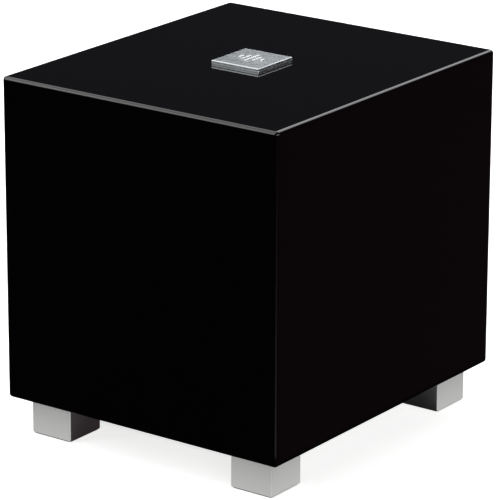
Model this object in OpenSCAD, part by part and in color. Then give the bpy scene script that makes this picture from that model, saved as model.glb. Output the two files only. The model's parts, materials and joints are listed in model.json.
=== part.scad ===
// Compact powered subwoofer: a sealed cabinet on four feet, with its driver in the floor
// and its amplifier in the back. The front faces -Y. The origin is on the floor, under the
// middle of the whole subwoofer, controls included.

/* [Cabinet] */
// Width of the cabinet, side to side
cabinet_w = 216; // [206:1:280]
// Depth of the cabinet, front to back, without the controls
cabinet_d = 244; // [232:1:320]
// Height of the cabinet, without the feet
cabinet_h = 217.5; // [208:0.5:300]
// Thickness of the board that the panels are cut from
wall = 15; // [12:0.5:18]
// Radius of the cabinet's outer edges
edge_r = 2.5; // [1:0.5:5]
// Width and depth of the rebates that locate the front and back panels
rebate = 7; // [4:0.5:9]
// Thickness of the brace inside
brace_t = 12; // [9:0.5:18]
// Height of the brace above the cabinet's underside
brace_z = 112; // [98:1:130]

/* [Feet] */
// Side of each square foot
foot_w = 32; // [26:0.5:40]
// Height of a foot with its rubber pad
foot_h = 26; // [20:0.5:40]
// Distance from the cabinet's sides to the feet
foot_inset = 11; // [6:0.5:14]
// Bevel on the upright edges of the feet
foot_bevel = 0.8; // [0.3:0.1:2]
// Thickness of the rubber pads
pad_t = 2; // [1:0.5:4]
// Distance from a foot's edge to its pad
pad_inset = 0.7; // [0.3:0.1:2]
// Radius of the bolts that hold the feet
foot_bolt_r = 3; // [2.5:0.5:4]

/* [Badge] */
// Side of the square badge
badge_w = 41; // [25:0.5:60]
// Thickness of each of its two plates
badge_t = 1.5; // [1:0.1:2.5]
// Height of the groove between the plates
badge_groove = 0.5; // [0.3:0.1:1]
// Height of the raised emblem
emblem_h = 0.7; // [0.4:0.1:1.5]

/* [Driver] */
// Outside diameter of the driver's frame
driver_d = 165; // [150:1:168]
// Width of the frame's rim outside the basket
rim_w = 9; // [8:0.5:11]
// Thickness of the frame's rim
rim_t = 4; // [3:0.5:5]
// Thickness of the gasket behind the rim
driver_gasket_t = 1; // [0.5:0.5:2]
// Number of screws round the rim
driver_screw_count = 8; // [6:1:10]
// Number of legs of the basket
leg_count = 6; // [4:1:8]
// Height of the ledge that carries the spider
shelf_z = 41; // [40:0.5:46]
// Radius of the surround's roll
roll_r = 5.5; // [4:0.5:6.5]
// Thickness of the surround's rubber
rubber_t = 1; // [0.8:0.1:1.4]
// Depth of the cone
cone_depth = 31; // [26:0.5:32]
// Thickness of the cone
cone_t = 0.9; // [0.6:0.1:1.5]
// Radius of the dust cap
cap_r = 22; // [19:0.5:28]
// Height of the dust cap's dome
cap_h = 7; // [4:0.5:9]
// Outside radius of the voice coil's former
former_r = 15.9; // [12:0.1:19]
// Length of the winding
coil_len = 16; // [10:0.5:18]
// Radial gap on each side of the coil
coil_gap = 0.5; // [0.4:0.1:0.8]
// Radius of the magnet
magnet_r = 50; // [44:0.5:56]
// Thickness of the magnet
magnet_t = 18; // [14:0.5:22]
// Thickness of the top plate and of the yoke's base
plate_t = 6; // [4:0.5:8]

/* [Amplifier] */
// Width of the amplifier panel
amp_w = 164; // [160:1:178]
// Height of the amplifier panel
amp_h = 170; // [166:1:180]
// Thickness of the amplifier panel
amp_t = 3; // [2:0.5:4]
// Width of the ledge that the panel is screwed to
amp_ledge = 8; // [7:0.5:9]
// Thickness of the panel's gasket
amp_gasket_t = 1; // [0.5:0.5:2]
// Distance from the panel's back to the circuit board
board_gap = 14; // [13.5:0.5:18]
// Thickness of the circuit board
board_t = 1.6; // [1:0.2:2.4]

/* [Controls] */
// Height of the row of controls above the panel's middle
control_row = 50; // [48:1:52]
// Distance from one control to the next
control_pitch = 36; // [30:1:37]
// Radius of the knobs
knob_r = 10; // [8:0.5:12]
// Height of the knobs
knob_h = 9.2; // [8:0.1:14]
// Gap between the knobs and the panel
knob_gap = 0.8; // [0.5:0.1:2]
// Radius of the knobs' shafts
shaft_r = 3; // [2.5:0.1:3.2]
// Travel of the phase switch
phase_travel = 4; // [3:0.5:6]
// Radius of the power rocker about its pivot
rocker_r = 10; // [8:0.5:11]
// Tilt of the rocker to each side of level
rocker_tilt = 12; // [8:1:14]

/* [Sockets] */
// Height of the row of signal sockets above the panel's middle
socket_row = 6; // [4:1:8]
// Distance from one line socket to the next
line_pitch = 20; // [15:1:21]
// Outside radius of the line sockets
line_r = 4.15; // [4.1:0.05:4.2]
// Radius of the round well in the high-level socket
well_r = 12; // [11.5:0.5:12.5]
// Radius of the post in that well
post_r = 6; // [5.5:0.5:6]
// Depth of the well
well_depth = 20; // [14:1:24]
// Height of the row of mains parts below the panel's middle
mains_row = 46; // [44:1:50]
// Width of the mains inlet's cavity
inlet_w = 24.4; // [24:0.1:25]
// Height of the mains inlet's cavity
inlet_h = 16.8; // [16.6:0.1:17.4]
// Depth of the mains inlet's cavity
inlet_depth = 17; // [16.5:0.5:19]

/* [Fits] */
// Gap round a piece that is glued or screwed into a recess
fit_gap = 0.2; // [0.1:0.05:0.3]
// Running gap of shafts and pins in their bores
run_gap = 0.05; // [0.02:0.01:0.1]
// Gap round the pieces that slide or rock
slide_gap = 0.35; // [0.3:0.05:0.5]

/* [Hidden] */
$fn = 72;

// How far a cut runs past the faces that it opens.
past = 1;
// How far the controls stand out behind the cabinet.
rear_reach = knob_gap + knob_h;

// Feet and their bolts.
foot_x = cabinet_w / 2 - foot_inset - foot_w / 2;
foot_y = cabinet_d / 2 - foot_inset - foot_w / 2;
bolt_head_r = foot_bolt_r * 1.7;
bolt_head_h = foot_bolt_r * 2;
// Depth of the counterbore that hides the head of a foot's bolt.
foot_counterbore = bolt_head_h + 2;
insert_r = foot_bolt_r + 1.6;
insert_h = 11;

// Badge.
badge_pin_r = 2;
badge_pin_len = 6;
badge_pin_x = badge_w / 4;
emblem_bars = [0.32, 0.62, 1, 0.55, 0.24];
emblem_tall = badge_w * 0.46;
emblem_bar_w = badge_w * 0.055;
emblem_pitch = badge_w * 0.11;

// Driver, from its face (z = 0, level with the cabinet's underside) inwards.
driver_r = driver_d / 2;
basket_r = driver_r - rim_w;
basket_wall = 3.5;
cutout_gap = 1;
seat_t = 1.2;
lip_out_r = basket_r - 1;
lip_in_r = lip_out_r - 6;
roll_mid_r = lip_in_r - roll_r + rubber_t;
cone_rim_r = roll_mid_r - roll_r + rubber_t + 0.4;
cone_lip_w = 4.5;
neck_z = seat_t + cone_depth;
coil_t = 0.8;
former_t = 0.4;
shelf_t = 2.5;
shelf_out_r = magnet_r;
shelf_in_r = shelf_out_r - 10;
deck_z = shelf_z + 9;
deck_r = magnet_r - 3;
// The basket's tapering wall: radius and height at its foot and at its top.
taper_foot = [basket_r, rim_t + 7];
taper_top = [shelf_out_r + 3, shelf_z];
// Terminals on the back leg: the lower edge of their pad, and its face.
terminal_z = shelf_z - 9;
terminal_y = taper_radius(terminal_z) + 3;
terminal_x = 5;
strip_t = 1.6;
lug_t = 0.8;
gap_z = deck_z + plate_t / 2;
pole_r = former_r - former_t - coil_gap;
plate_bore_r = former_r + coil_t + coil_gap;
former_top = gap_z + coil_len / 2 + 0.5;
yoke_z = deck_z + plate_t + magnet_t;
vent_r = 5;
rim_screw_r = driver_r - rim_w / 2;
rim_screw_hole_r = 2.2;
screw_r = 1.9;
screw_head_r = 3.5;
screw_len = 13;

// Amplifier: its panel is flush with the cabinet's back.
amp_corner_r = 6;
amp_open_w = amp_w - 2 * amp_ledge;
amp_open_h = amp_h - 2 * amp_ledge;
amp_screw_x = (amp_w - amp_ledge) / 2;
amp_screw_y = (amp_h - amp_ledge) / 2;
amp_screw_spots = [
    for (x = [-1, 0, 1], y = [-1, 0, 1]) if (x != 0 || y != 0) [x * amp_screw_x, y * amp_screw_y]
];
amp_screw_hole_r = 2.1;
control_spots = [for (i = [0 : 3]) [(i - 1.5) * control_pitch, control_row]];
phase_spot = control_spots[3];
high_spot = [-46, socket_row];
line_spots = [for (i = [0 : 2]) [i * line_pitch - 4, socket_row]];
lamp_spot = [62, socket_row];
inlet_spot = [-36, -mains_row];
power_spot = [14, -mains_row];
board_z = -amp_t - board_gap;
board_w = 140;
board_top = 60;
board_low = -14;
board_notch_w = 44;
board_notch_h = 40;
spacer_r = 3;
spacer_spots = [[-66, 38], [66, 38], [66, -8], [-20, -8]];
knob_spots = [control_spots[0], control_spots[1], control_spots[2]];

// Controls.
pot_w = 16;
pot_h = 8;
bush_r = shaft_r + 1;
nut_r = bush_r + 1.5;
nut_h = 1.6;
shaft_back = amp_t + pot_h - 1;
flute_count = 18;
lever_w = 5;
lever_h = 4;
lever_out = 3;
phase_body_h = 6.5;
rocker_w = 12;
rocker_pivot_z = -3;
rocker_pin_r = 1.4;
bezel_t = 1.5;
switch_w = rocker_w + 2 * slide_gap + 3.2;
switch_h = 2 * (rocker_r + slide_gap) + 3.2;
switch_depth = rocker_r + slide_gap - rocker_pivot_z + 2;
lamp_r = 2.5;

// Sockets.
socket_flange = 31;
socket_wall = 2;
socket_body_r = well_r + socket_wall;
line_shell_t = 0.6;
line_out = 9;
line_flange_r = 5.6;
line_bore_r = 1.6;
inlet_flange_t = 2;
inlet_body_w = inlet_w + 3;
inlet_body_h = 34;
inlet_body_depth = 22;
inlet_mid = inlet_body_h / 2 - inlet_h / 2 - 1.6;
drawer_w = 22;
drawer_h = 7.6;
drawer_len = 19;
drawer_mid = -inlet_body_h / 2 + drawer_h / 2 + slide_gap + 1.8;
pin_out = 12;
fuse_r = 2.6;
fuse_len = 20;

// Route of the two leads from the circuit board to the driver's terminals, from the
// cabinet's middle; the second lead runs beside the first.
lead_r = 1.1;
lug_face = terminal_y + strip_t + lug_t;
lead_start = [-40, cabinet_d / 2 + board_z - board_t, cabinet_h / 2 + board_low + 4.2];
lead_end = [-terminal_x, lug_face + lead_r, terminal_z + 14];
lead_route = [lead_start, [-40, 95, 96], [-38, 86, 84], [-28, 78, 70], [-12, 71, 61],
    lead_end + [0, 1.4, 8], lead_end];
lead_spacing = [2 * terminal_x, 0, 0];
// Route of a braided lead from a terminal, through the basket's window, to the cone's back;
// the other lead mirrors it.
tinsel_r = 0.8;
tinsel_start = [terminal_x, lug_face + tinsel_r, terminal_z + 4];
tinsel_end_r = 36.8;
tinsel_end = [12.5, sqrt(pow(tinsel_end_r, 2) - pow(12.5, 2)), cone_z(tinsel_end_r) + cone_t + 0.4];
tinsel_route = [tinsel_start, tinsel_start + [2, 1.1, -4], [13, 64.5, 28], [18, 57, 26], [18.5, 48, 26],
    [15.5, 41, 22.5], tinsel_end + [0.7, 1.9, 2.7], tinsel_end];

// The cabinet's own frame: its middle in plan, its underside at z = 0.
module in_cabinet() translate([0, -rear_reach / 2, foot_h]) children();

// The amplifier panel's frame, seen from behind: x to the right, y up, z out of the panel.
module on_panel(spot)
    in_cabinet() translate([0, cabinet_d / 2, cabinet_h / 2]) rotate([90, 0, 180])
        translate([spot.x, spot.y, 0]) children();

// Rectangle with round corners, centred.
module rounded_rect(w, h, r) {
    square([w - 2 * r, h], center = true);
    square([w, h - 2 * r], center = true);
    for (x = [-1, 1], y = [-1, 1])
        translate([x * (w / 2 - r), y * (h / 2 - r)]) circle(r);
}

// Square with bevelled corners, centred.
module bevelled_square(w, bevel) {
    a = w / 2;
    b = w / 2 - bevel;
    polygon([[-a, -b], [-b, -a], [b, -a], [a, -b], [a, b], [b, a], [-b, a], [-a, b]]);
}

// Block with every edge rounded, centred in plan and standing on z = 0.
module rounded_block(w, d, h, r)
    intersection() {
        linear_extrude(h) rounded_rect(w, d, r);
        translate([0, d / 2, h / 2]) rotate([90, 0, 0]) linear_extrude(d) rounded_rect(w, h, r);
        translate([-w / 2, 0, h / 2]) rotate([90, 0, 90]) linear_extrude(w) rounded_rect(d, h, r);
    }

// Plate with a bevel round its upper face, centred and standing on z = 0.
module bevelled_plate(w, t, bevel) {
    a = w / 2;
    outline = [[-a, 0], [a, 0], [a, t - bevel], [a - bevel, t], [bevel - a, t], [-a, t - bevel]];
    intersection() {
        translate([0, a, 0]) rotate([90, 0, 0]) linear_extrude(w) polygon(outline);
        translate([-a, 0, 0]) rotate([90, 0, 90]) linear_extrude(w) polygon(outline);
    }
}

// Flat ring standing on z = 0.
module ring(outer_r, inner_r, h)
    difference() {
        cylinder(r = outer_r, h = h);
        translate([0, 0, -past]) cylinder(r = inner_r, h = h + 2 * past);
    }

// Screw with a domed head on z = 0 and its shank along -z.
module screw(shank_r, length, head_r, head_h) {
    difference() {
        union() {
            translate([0, 0, -length]) cylinder(r = shank_r, h = length);
            cylinder(r = head_r, h = head_h);
        }
        translate([0, 0, head_h / 3]) cylinder(r = shank_r, h = head_h, $fn = 6);
    }
}

// Repeats its children round the axis.
module around(count, start = 0)
    for (i = [0 : count - 1]) rotate(start + i * 360 / count) children();

// One foot's place: side is -1 or 1 across, end is -1 at the front and 1 at the back.
module at_foot(side, end) in_cabinet() translate([side * foot_x, end * foot_y, 0]) children();

module at_feet() for (side = [-1, 1], end = [-1, 1]) at_foot(side, end) children();

// ---- Cabinet ----

// Front (end = -1) or back (end = 1) panel before its edges are rounded: a full face with
// a tongue behind it that the four wrapped panels fit round.
module end_blank(end)
    scale([1, end, 1]) {
        translate([-cabinet_w / 2, cabinet_d / 2 - wall + rebate, 0])
            cube([cabinet_w, wall - rebate, cabinet_h]);
        translate([rebate - cabinet_w / 2, cabinet_d / 2 - wall, rebate])
            cube([cabinet_w - 2 * rebate, rebate, cabinet_h - 2 * rebate]);
    }

module cabinet_block() rounded_block(cabinet_w, cabinet_d, cabinet_h, edge_r);

// One of the four panels between front and back: its outline is the panel's end, with a
// mitre at each corner.
module wrapped_panel(outline)
    difference() {
        intersection() {
            cabinet_block();
            translate([0, cabinet_d / 2, 0]) rotate([90, 0, 0]) linear_extrude(cabinet_d)
                polygon(outline);
        }
        end_blank(-1);
        end_blank(1);
    }

module side_panel(side) {
    a = side * cabinet_w / 2;
    b = side * (cabinet_w / 2 - wall);
    wrapped_panel([[a, 0], [a, cabinet_h], [b, cabinet_h - wall], [b, wall]]);
}

module cabinet_top() color("black") in_cabinet()
    difference() {
        wrapped_panel([
            [-cabinet_w / 2, cabinet_h], [cabinet_w / 2, cabinet_h],
            [cabinet_w / 2 - wall, cabinet_h - wall], [wall - cabinet_w / 2, cabinet_h - wall]
        ]);
        for (x = [-1, 1])
            translate([x * badge_pin_x, 0, cabinet_h - badge_pin_len - 0.5])
                cylinder(r = badge_pin_r + fit_gap, h = badge_pin_len + 0.5 + past);
    }

module cabinet_front() color("black") in_cabinet()
    intersection() {
        cabinet_block();
        end_blank(-1);
    }

module cabinet_left() color("black") in_cabinet() side_panel(-1);

module cabinet_right() color("black") in_cabinet() side_panel(1);

module cabinet_back() color("black") {
    difference() {
        in_cabinet() intersection() {
            cabinet_block();
            end_blank(1);
        }
        on_panel([0, 0]) {
            translate([0, 0, -wall - past]) linear_extrude(wall + 2 * past)
                rounded_rect(amp_open_w, amp_open_h, amp_corner_r);
            translate([0, 0, -amp_t - amp_gasket_t])
                linear_extrude(amp_t + amp_gasket_t + past)
                    rounded_rect(amp_w + 2 * fit_gap, amp_h + 2 * fit_gap, amp_corner_r);
            for (spot = amp_screw_spots)
                translate([spot.x, spot.y, -wall + 1]) cylinder(r = screw_r + run_gap, h = wall);
        }
    }
}

module cabinet_bottom() color("black") in_cabinet()
    difference() {
        wrapped_panel([
            [-cabinet_w / 2, 0], [cabinet_w / 2, 0],
            [cabinet_w / 2 - wall, wall], [wall - cabinet_w / 2, wall]
        ]);
        translate([0, 0, -past]) cylinder(r = basket_r + cutout_gap, h = wall + 2 * past);
        translate([0, 0, -past])
            cylinder(r = driver_r + cutout_gap, h = rim_t + driver_gasket_t + past);
        around(driver_screw_count, 180 / driver_screw_count)
            translate([rim_screw_r, 0, 0]) cylinder(r = screw_r + run_gap, h = screw_len + 1);
        for (x = [-foot_x, foot_x], y = [-foot_y, foot_y])
            translate([x, y, -past]) cylinder(r = insert_r, h = insert_h + past);
    }

// Shelf brace between the sides and the front, with a window that lets the air through.
module brace() color("burlywood") in_cabinet() {
    back_y = 40;
    front_y = wall - cabinet_d / 2;
    deep = back_y - front_y;
    wide = cabinet_w - 2 * wall;
    translate([0, front_y + deep / 2, brace_z]) linear_extrude(brace_t)
        difference() {
            square([wide, deep], center = true);
            rounded_rect(wide - 60, deep - 56, 24);
            for (x = [-1, 1], y = [-1, 1])
                translate([x * (wide / 2 - 17), y * (deep / 2 - 30)]) circle(8);
        }
}

// Loose pad of polyester wool on the brace.
module wadding() color("whitesmoke") in_cabinet() {
    low = brace_z + brace_t + 2;
    translate([0, -30, low])
        rounded_block(cabinet_w - 2 * wall - 10, 140, cabinet_h - wall - low - 4, 14);
}

// ---- Feet ----

module foot_block()
    difference() {
        translate([0, 0, pad_t - foot_h]) linear_extrude(foot_h - pad_t)
            bevelled_square(foot_w, foot_bevel);
        translate([0, 0, -foot_h]) cylinder(r = foot_bolt_r + fit_gap, h = foot_h + past);
        translate([0, 0, -foot_h]) cylinder(r = bolt_head_r + 0.5, h = foot_counterbore + pad_t);
    }

module foot_front_left() color("silver") at_foot(-1, -1) foot_block();

module foot_front_right() color("silver") at_foot(1, -1) foot_block();

module foot_back_left() color("silver") at_foot(-1, 1) foot_block();

module foot_back_right() color("silver") at_foot(1, 1) foot_block();

module foot_pads() color("dimgray") at_feet()
    translate([0, 0, -foot_h]) linear_extrude(pad_t)
        rounded_rect(foot_w - 2 * pad_inset, foot_w - 2 * pad_inset, 2);

module foot_bolts() color("gray") at_feet()
    translate([0, 0, pad_t - foot_h + foot_counterbore])
        rotate([180, 0, 0])
            screw(foot_bolt_r, foot_h - pad_t - foot_counterbore + insert_h - 2,
                bolt_head_r, bolt_head_h);

module foot_inserts() color("goldenrod") at_feet()
    ring(insert_r, foot_bolt_r + run_gap, insert_h);

// ---- Badge ----

module on_top() in_cabinet() translate([0, 0, cabinet_h]) children();

module badge_base() color("silver") on_top() {
    translate([0, 0, badge_t - 0.01]) linear_extrude(badge_groove + 0.01)
        square(badge_w - 2, center = true);
    linear_extrude(badge_t) bevelled_square(badge_w, 0.4);
    for (x = [-1, 1])
        translate([x * badge_pin_x, 0, -badge_pin_len]) cylinder(r = badge_pin_r, h = badge_pin_len);
}

module badge_plate() color("silver") on_top()
    translate([0, 0, badge_t + badge_groove]) bevelled_plate(badge_w, badge_t, 0.6);

// Five upright bars, as on a level meter.
module badge_emblem() color("white") on_top()
    for (i = [0 : len(emblem_bars) - 1])
        translate([(i - 2) * emblem_pitch, 0, 2 * badge_t + badge_groove])
            linear_extrude(emblem_h)
                rounded_rect(emblem_bar_w, emblem_bars[i] * emblem_tall, emblem_bar_w * 0.45);

// ---- Driver ----

// Outer radius of the basket's tapering wall at height z.
function taper_radius(z) =
    taper_foot.x + (taper_top.x - taper_foot.x) * (z - taper_foot.y) / (taper_top.y - taper_foot.y);

// Height of the cone's face above the baffle's face at radius r.
function cone_z(r) =
    let (t = (r - former_r) / (cone_rim_r - cone_lip_w - former_r))
    seat_t + cone_depth * pow(max(1 - t, 0), 1.25);

// Cast basket: rim, tapering legs with arched windows between them, the spider's ledge and
// the deck that the motor is screwed to.
module driver_basket() color("darkgray") in_cabinet()
    difference() {
        union() {
            rotate_extrude() polygon([
                [lip_out_r + fit_gap, 0], [driver_r, 0], [driver_r, rim_t], [basket_r, rim_t],
                taper_foot, taper_top, [deck_r + 1, shelf_z + 4],
                [deck_r + 1, deck_z], [plate_bore_r + 4, deck_z], [plate_bore_r + 4, deck_z - 3],
                [deck_r - 4, deck_z - 3], [deck_r - 4, shelf_z + shelf_t],
                [shelf_in_r, shelf_z + shelf_t], [shelf_in_r, shelf_z],
                [shelf_out_r - 0.5, shelf_z], [basket_r - basket_wall, rim_t + 5],
                [lip_in_r, rim_t], [lip_in_r, seat_t], [lip_out_r + fit_gap, seat_t]
            ]);
            for (i = [1 : leg_count - 1]) rotate(90 + i * 360 / leg_count) leg_rib();
            terminal_pad();
        }
        around(leg_count, 90 + 180 / leg_count) basket_window();
        around(driver_screw_count, 180 / driver_screw_count)
            translate([rim_screw_r, 0, -past]) cylinder(r = rim_screw_hole_r, h = rim_t + 2 * past);
    }

// Rib down the outside of a leg. The back leg carries the terminals in place of a rib.
module leg_rib()
    translate([0, 1.5, 0]) rotate([90, 0, 0]) linear_extrude(3)
        polygon([
            [basket_r - 2, rim_t + 1], [basket_r - 0.4, rim_t + 1], [basket_r - 0.4, wall],
            [shelf_out_r + 6, shelf_z], [deck_r + 1, shelf_z + 6], [deck_r - 2, shelf_z + 5],
            [shelf_out_r + 1, shelf_z - 1]
        ]);

// Arched opening between two legs, wider towards the rim.
module basket_window() {
    low = rim_t + 8;
    top = shelf_z - 4;
    wide = basket_r * sin(180 / leg_count) - 9;
    narrow = shelf_out_r * sin(180 / leg_count) - 7;
    arch_r = wide + 1;
    translate([shelf_out_r - 10, 0, 0]) rotate([90, 0, 90]) linear_extrude(basket_r)
        intersection() {
            polygon([[-wide, low], [wide, low], [narrow, shelf_z], [-narrow, shelf_z]]);
            translate([0, top - arch_r]) circle(r = arch_r);
        }
}

// Flat on the back leg that the terminals are riveted to.
module terminal_pad()
    translate([-12, shelf_out_r - 2, terminal_z])
        cube([24, terminal_y - shelf_out_r + 2, shelf_z + 4 - terminal_z]);

// Insulating strip with a riveted lug for each lead.
module terminal_strip() color("peru") in_cabinet()
    translate([0, terminal_y, terminal_z + 1]) {
        translate([-11, 0, 0]) cube([22, strip_t, 16]);
        for (x = [-terminal_x, terminal_x]) {
            translate([x, 0, 8]) rotate([-90, 0, 0]) cylinder(r = 2.2, h = strip_t + 1.4);
            translate([x - 2.4, strip_t, 1]) cube([4.8, lug_t, 14]);
        }
    }

module driver_gasket() color("dimgray") in_cabinet()
    difference() {
        translate([0, 0, rim_t]) ring(driver_r, basket_r + 0.5, driver_gasket_t);
        around(driver_screw_count, 180 / driver_screw_count)
            translate([rim_screw_r, 0, rim_t - past])
                cylinder(r = rim_screw_hole_r, h = driver_gasket_t + 2 * past);
    }

module driver_screws() color("black") in_cabinet()
    around(driver_screw_count, 180 / driver_screw_count)
        translate([rim_screw_r, 0, 0]) rotate([180, 0, 0])
            screw(screw_r, screw_len, screw_head_r, 2);

// Half-roll rubber surround with a flat lip on each side.
module surround() color("dimgray") in_cabinet()
    rotate_extrude() {
        translate([roll_mid_r, seat_t / 2]) difference() {
            circle(roll_r);
            circle(roll_r - rubber_t);
            translate([-roll_r - past, 0]) square([2 * (roll_r + past), roll_r + past]);
        }
        translate([roll_mid_r + roll_r - rubber_t, 0])
            square([lip_out_r - roll_mid_r - roll_r + rubber_t, seat_t]);
        translate([cone_rim_r - cone_lip_w + 0.5, 0])
            square([roll_mid_r - roll_r + rubber_t - cone_rim_r + cone_lip_w - 0.5, seat_t]);
    }

// Flared paper cone with a flat rim for the surround.
module cone() color("dimgray") in_cabinet() {
    steps = 12;
    inner = former_r + fit_gap / 2;
    radii = [for (i = [0 : steps]) inner + (cone_rim_r - cone_lip_w - inner) * i / steps];
    rotate_extrude() polygon(concat(
        [for (r = radii) [r, cone_z(r)]],
        [[cone_rim_r, seat_t], [cone_rim_r, seat_t + cone_t]],
        [for (i = [steps : -1 : 0]) [radii[i], cone_z(radii[i]) + cone_t]]
    ));
}

module dust_cap() color("dimgray") in_cabinet() {
    dome_r = (cap_r * cap_r + cap_h * cap_h) / (2 * cap_h);
    edge_z = cone_z(cap_r);
    rotate_extrude() intersection() {
        translate([0, edge_z - cap_h + dome_r]) difference() {
            circle(dome_r);
            circle(dome_r - cone_t);
        }
        translate([0, edge_z - cap_h - past]) square([cap_r, cap_h + past]);
    }
}

// Corrugated suspension between the former and the basket's ledge.
module spider() color("khaki") in_cabinet() {
    thick = 0.6;
    swing = 1.1;
    steps = 40;
    waves = 5;
    inner = former_r + fit_gap / 2;
    outer = shelf_in_r + 0.5;
    rise = [for (i = [0 : steps]) shelf_z - thick - swing - swing * cos(i * 360 * waves / steps)];
    radii = [for (i = [0 : steps]) inner + (outer - inner) * i / steps];
    rotate_extrude() polygon(concat(
        [for (i = [0 : steps]) [radii[i], rise[i]]],
        [[outer, shelf_z - thick], [shelf_out_r - 2, shelf_z - thick], [shelf_out_r - 2, shelf_z],
            [outer - 0.8, shelf_z]],
        [for (i = [steps - 1 : -1 : 0]) [radii[i], rise[i] + thick]]
    ));
}

module coil_former() color("tan") in_cabinet()
    translate([0, 0, neck_z - 1]) ring(former_r, former_r - former_t, former_top - neck_z + 1);

module coil_winding() color("chocolate") in_cabinet()
    translate([0, 0, gap_z - coil_len / 2]) ring(former_r + coil_t, former_r, coil_len);

module top_plate() color("gray") in_cabinet()
    translate([0, 0, deck_z]) ring(deck_r, plate_bore_r, plate_t);

module magnet() color("dimgray") in_cabinet()
    translate([0, 0, deck_z + plate_t]) ring(magnet_r, plate_bore_r + 10, magnet_t);

// Base plate and centre pole in one, with the vent through the pole.
module yoke() color("gray") in_cabinet()
    rotate_extrude() polygon([
        [vent_r, deck_z - 1], [pole_r - 0.8, deck_z - 1], [pole_r, deck_z], [pole_r, yoke_z],
        [deck_r, yoke_z], [deck_r, yoke_z + plate_t - 2], [deck_r - 2, yoke_z + plate_t],
        [vent_r + 4, yoke_z + plate_t], [vent_r, yoke_z + plate_t - 4]
    ]);

// ---- Amplifier ----

module amp_panel() color("#202020") on_panel([0, 0]) {
    difference() {
        translate([0, 0, -amp_t]) linear_extrude(amp_t) rounded_rect(amp_w, amp_h, amp_corner_r);
        for (spot = amp_screw_spots) through(spot) circle(amp_screw_hole_r);
        for (spot = knob_spots) through(spot) circle(bush_r + fit_gap);
        through(phase_spot)
            square([lever_w + phase_travel + 4 * slide_gap, lever_h + 4 * slide_gap], center = true);
        through(high_spot) circle(socket_body_r + fit_gap);
        for (spot = line_spots) through(spot) circle(line_r + fit_gap);
        through(lamp_spot) circle(lamp_r + fit_gap);
        through(inlet_spot)
            square([inlet_body_w + 2 * fit_gap, inlet_body_h + 2 * fit_gap], center = true);
        through(power_spot)
            square([switch_w + 2 * fit_gap, switch_h + 2 * fit_gap], center = true);
    }
    for (spot = spacer_spots)
        translate([spot.x, spot.y, board_z]) cylinder(r = spacer_r, h = board_gap + 0.01);
}

// Cut through the amplifier panel in the shape of its children.
module through(spot)
    translate([spot.x, spot.y, -amp_t - past]) linear_extrude(amp_t + 2 * past) children();

module amp_gasket() color("dimgray") on_panel([0, 0])
    translate([0, 0, -amp_t - amp_gasket_t]) linear_extrude(amp_gasket_t) difference() {
        rounded_rect(amp_w, amp_h, amp_corner_r);
        rounded_rect(amp_open_w, amp_open_h, amp_corner_r);
        for (spot = amp_screw_spots) translate(spot) circle(amp_screw_hole_r);
    }

module amp_screws() color("#303030") for (spot = amp_screw_spots)
    on_panel(spot) screw(screw_r, screw_len, screw_head_r, 2);

// Angle that takes the heat of the output devices to the panel.
module heat_bracket() color("silver") on_panel([0, amp_open_h / 2 - 1])
    translate([-55, 0, 0]) rotate([90, 0, 90]) linear_extrude(110)
        polygon([
            [0, -amp_t], [-14, -amp_t], [-14, -amp_t - 4], [-4, -amp_t - 4], [-4, -amp_t - 46],
            [0, -amp_t - 46]
        ]);

module output_devices() color("#202020")
    for (x = [-30, 0, 30]) on_panel([x, amp_open_h / 2 - 5]) {
        translate([-7.5, -4.5, -amp_t - 40]) cube([15, 4.5, 20]);
        for (pin = [-5, 0, 5])
            translate([pin - 0.6, -3, -amp_t - board_gap - board_t - 2]) cube([1.2, 0.8, 3]);
        for (pin = [-5, 0, 5])
            translate([pin - 0.6, -3, -amp_t - 20.5]) cube([1.2, 0.8, 20.5 - board_gap - board_t + 1]);
    }

module circuit_board() color("darkgreen") on_panel([0, 0])
    translate([0, 0, board_z - board_t]) linear_extrude(board_t) difference() {
        translate([-board_w / 2, board_low]) square([board_w, board_top - board_low]);
        translate([-board_w / 2 - past, board_low - past])
            square([board_notch_w + past, board_notch_h + past]);
        for (spot = spacer_spots) translate(spot) circle(1.6);
    }

// Ferrite core round a taped winding.
module transformer() color("goldenrod") on_panel([34, 24])
    translate([0, 0, board_z - board_t]) mirror([0, 0, 1]) {
        difference() {
            translate([-20, -17, 4]) cube([40, 34, 12]);
            translate([-13, -13, 4 - past]) cube([26, 26, 12 + 2 * past]);
        }
        linear_extrude(22) rounded_rect(25.6, 25.6, 4);
    }

module capacitors() color("#303060")
    for (x = [-22, 0]) on_panel([x, 34]) translate([0, 0, board_z - board_t - 30])
        rotate_extrude() polygon([
            [0, 0.6], [7, 0.6], [7, 0], [9, 0], [9, 24], [8.4, 24.8], [8.4, 25.4], [9, 26.2],
            [9, 30], [0, 30]
        ]);

// ---- Leads ----

function mix(a, b, t) = a + (b - a) * t;

// Point at t along the smooth curve through p1 and p2.
function curve_point(p0, p1, p2, p3, t) =
    0.5 * (2 * p1 + (p2 - p0) * t + (2 * p0 - 5 * p1 + 4 * p2 - p3) * t * t
    + (3 * p1 - p0 - 3 * p2 + p3) * t * t * t);

function smooth_route(route, steps) = [
    for (i = [0 : len(route) - 2], s = [0 : steps - 1]) curve_point(
        route[max(i - 1, 0)], route[i], route[i + 1], route[min(i + 2, len(route) - 1)],
        s / steps),
    route[len(route) - 1]
];

function unit(v) = v / norm(v);

function heading(route, i) =
    unit(route[min(i + 1, len(route) - 1)] - route[max(i - 1, 0)]);

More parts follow.
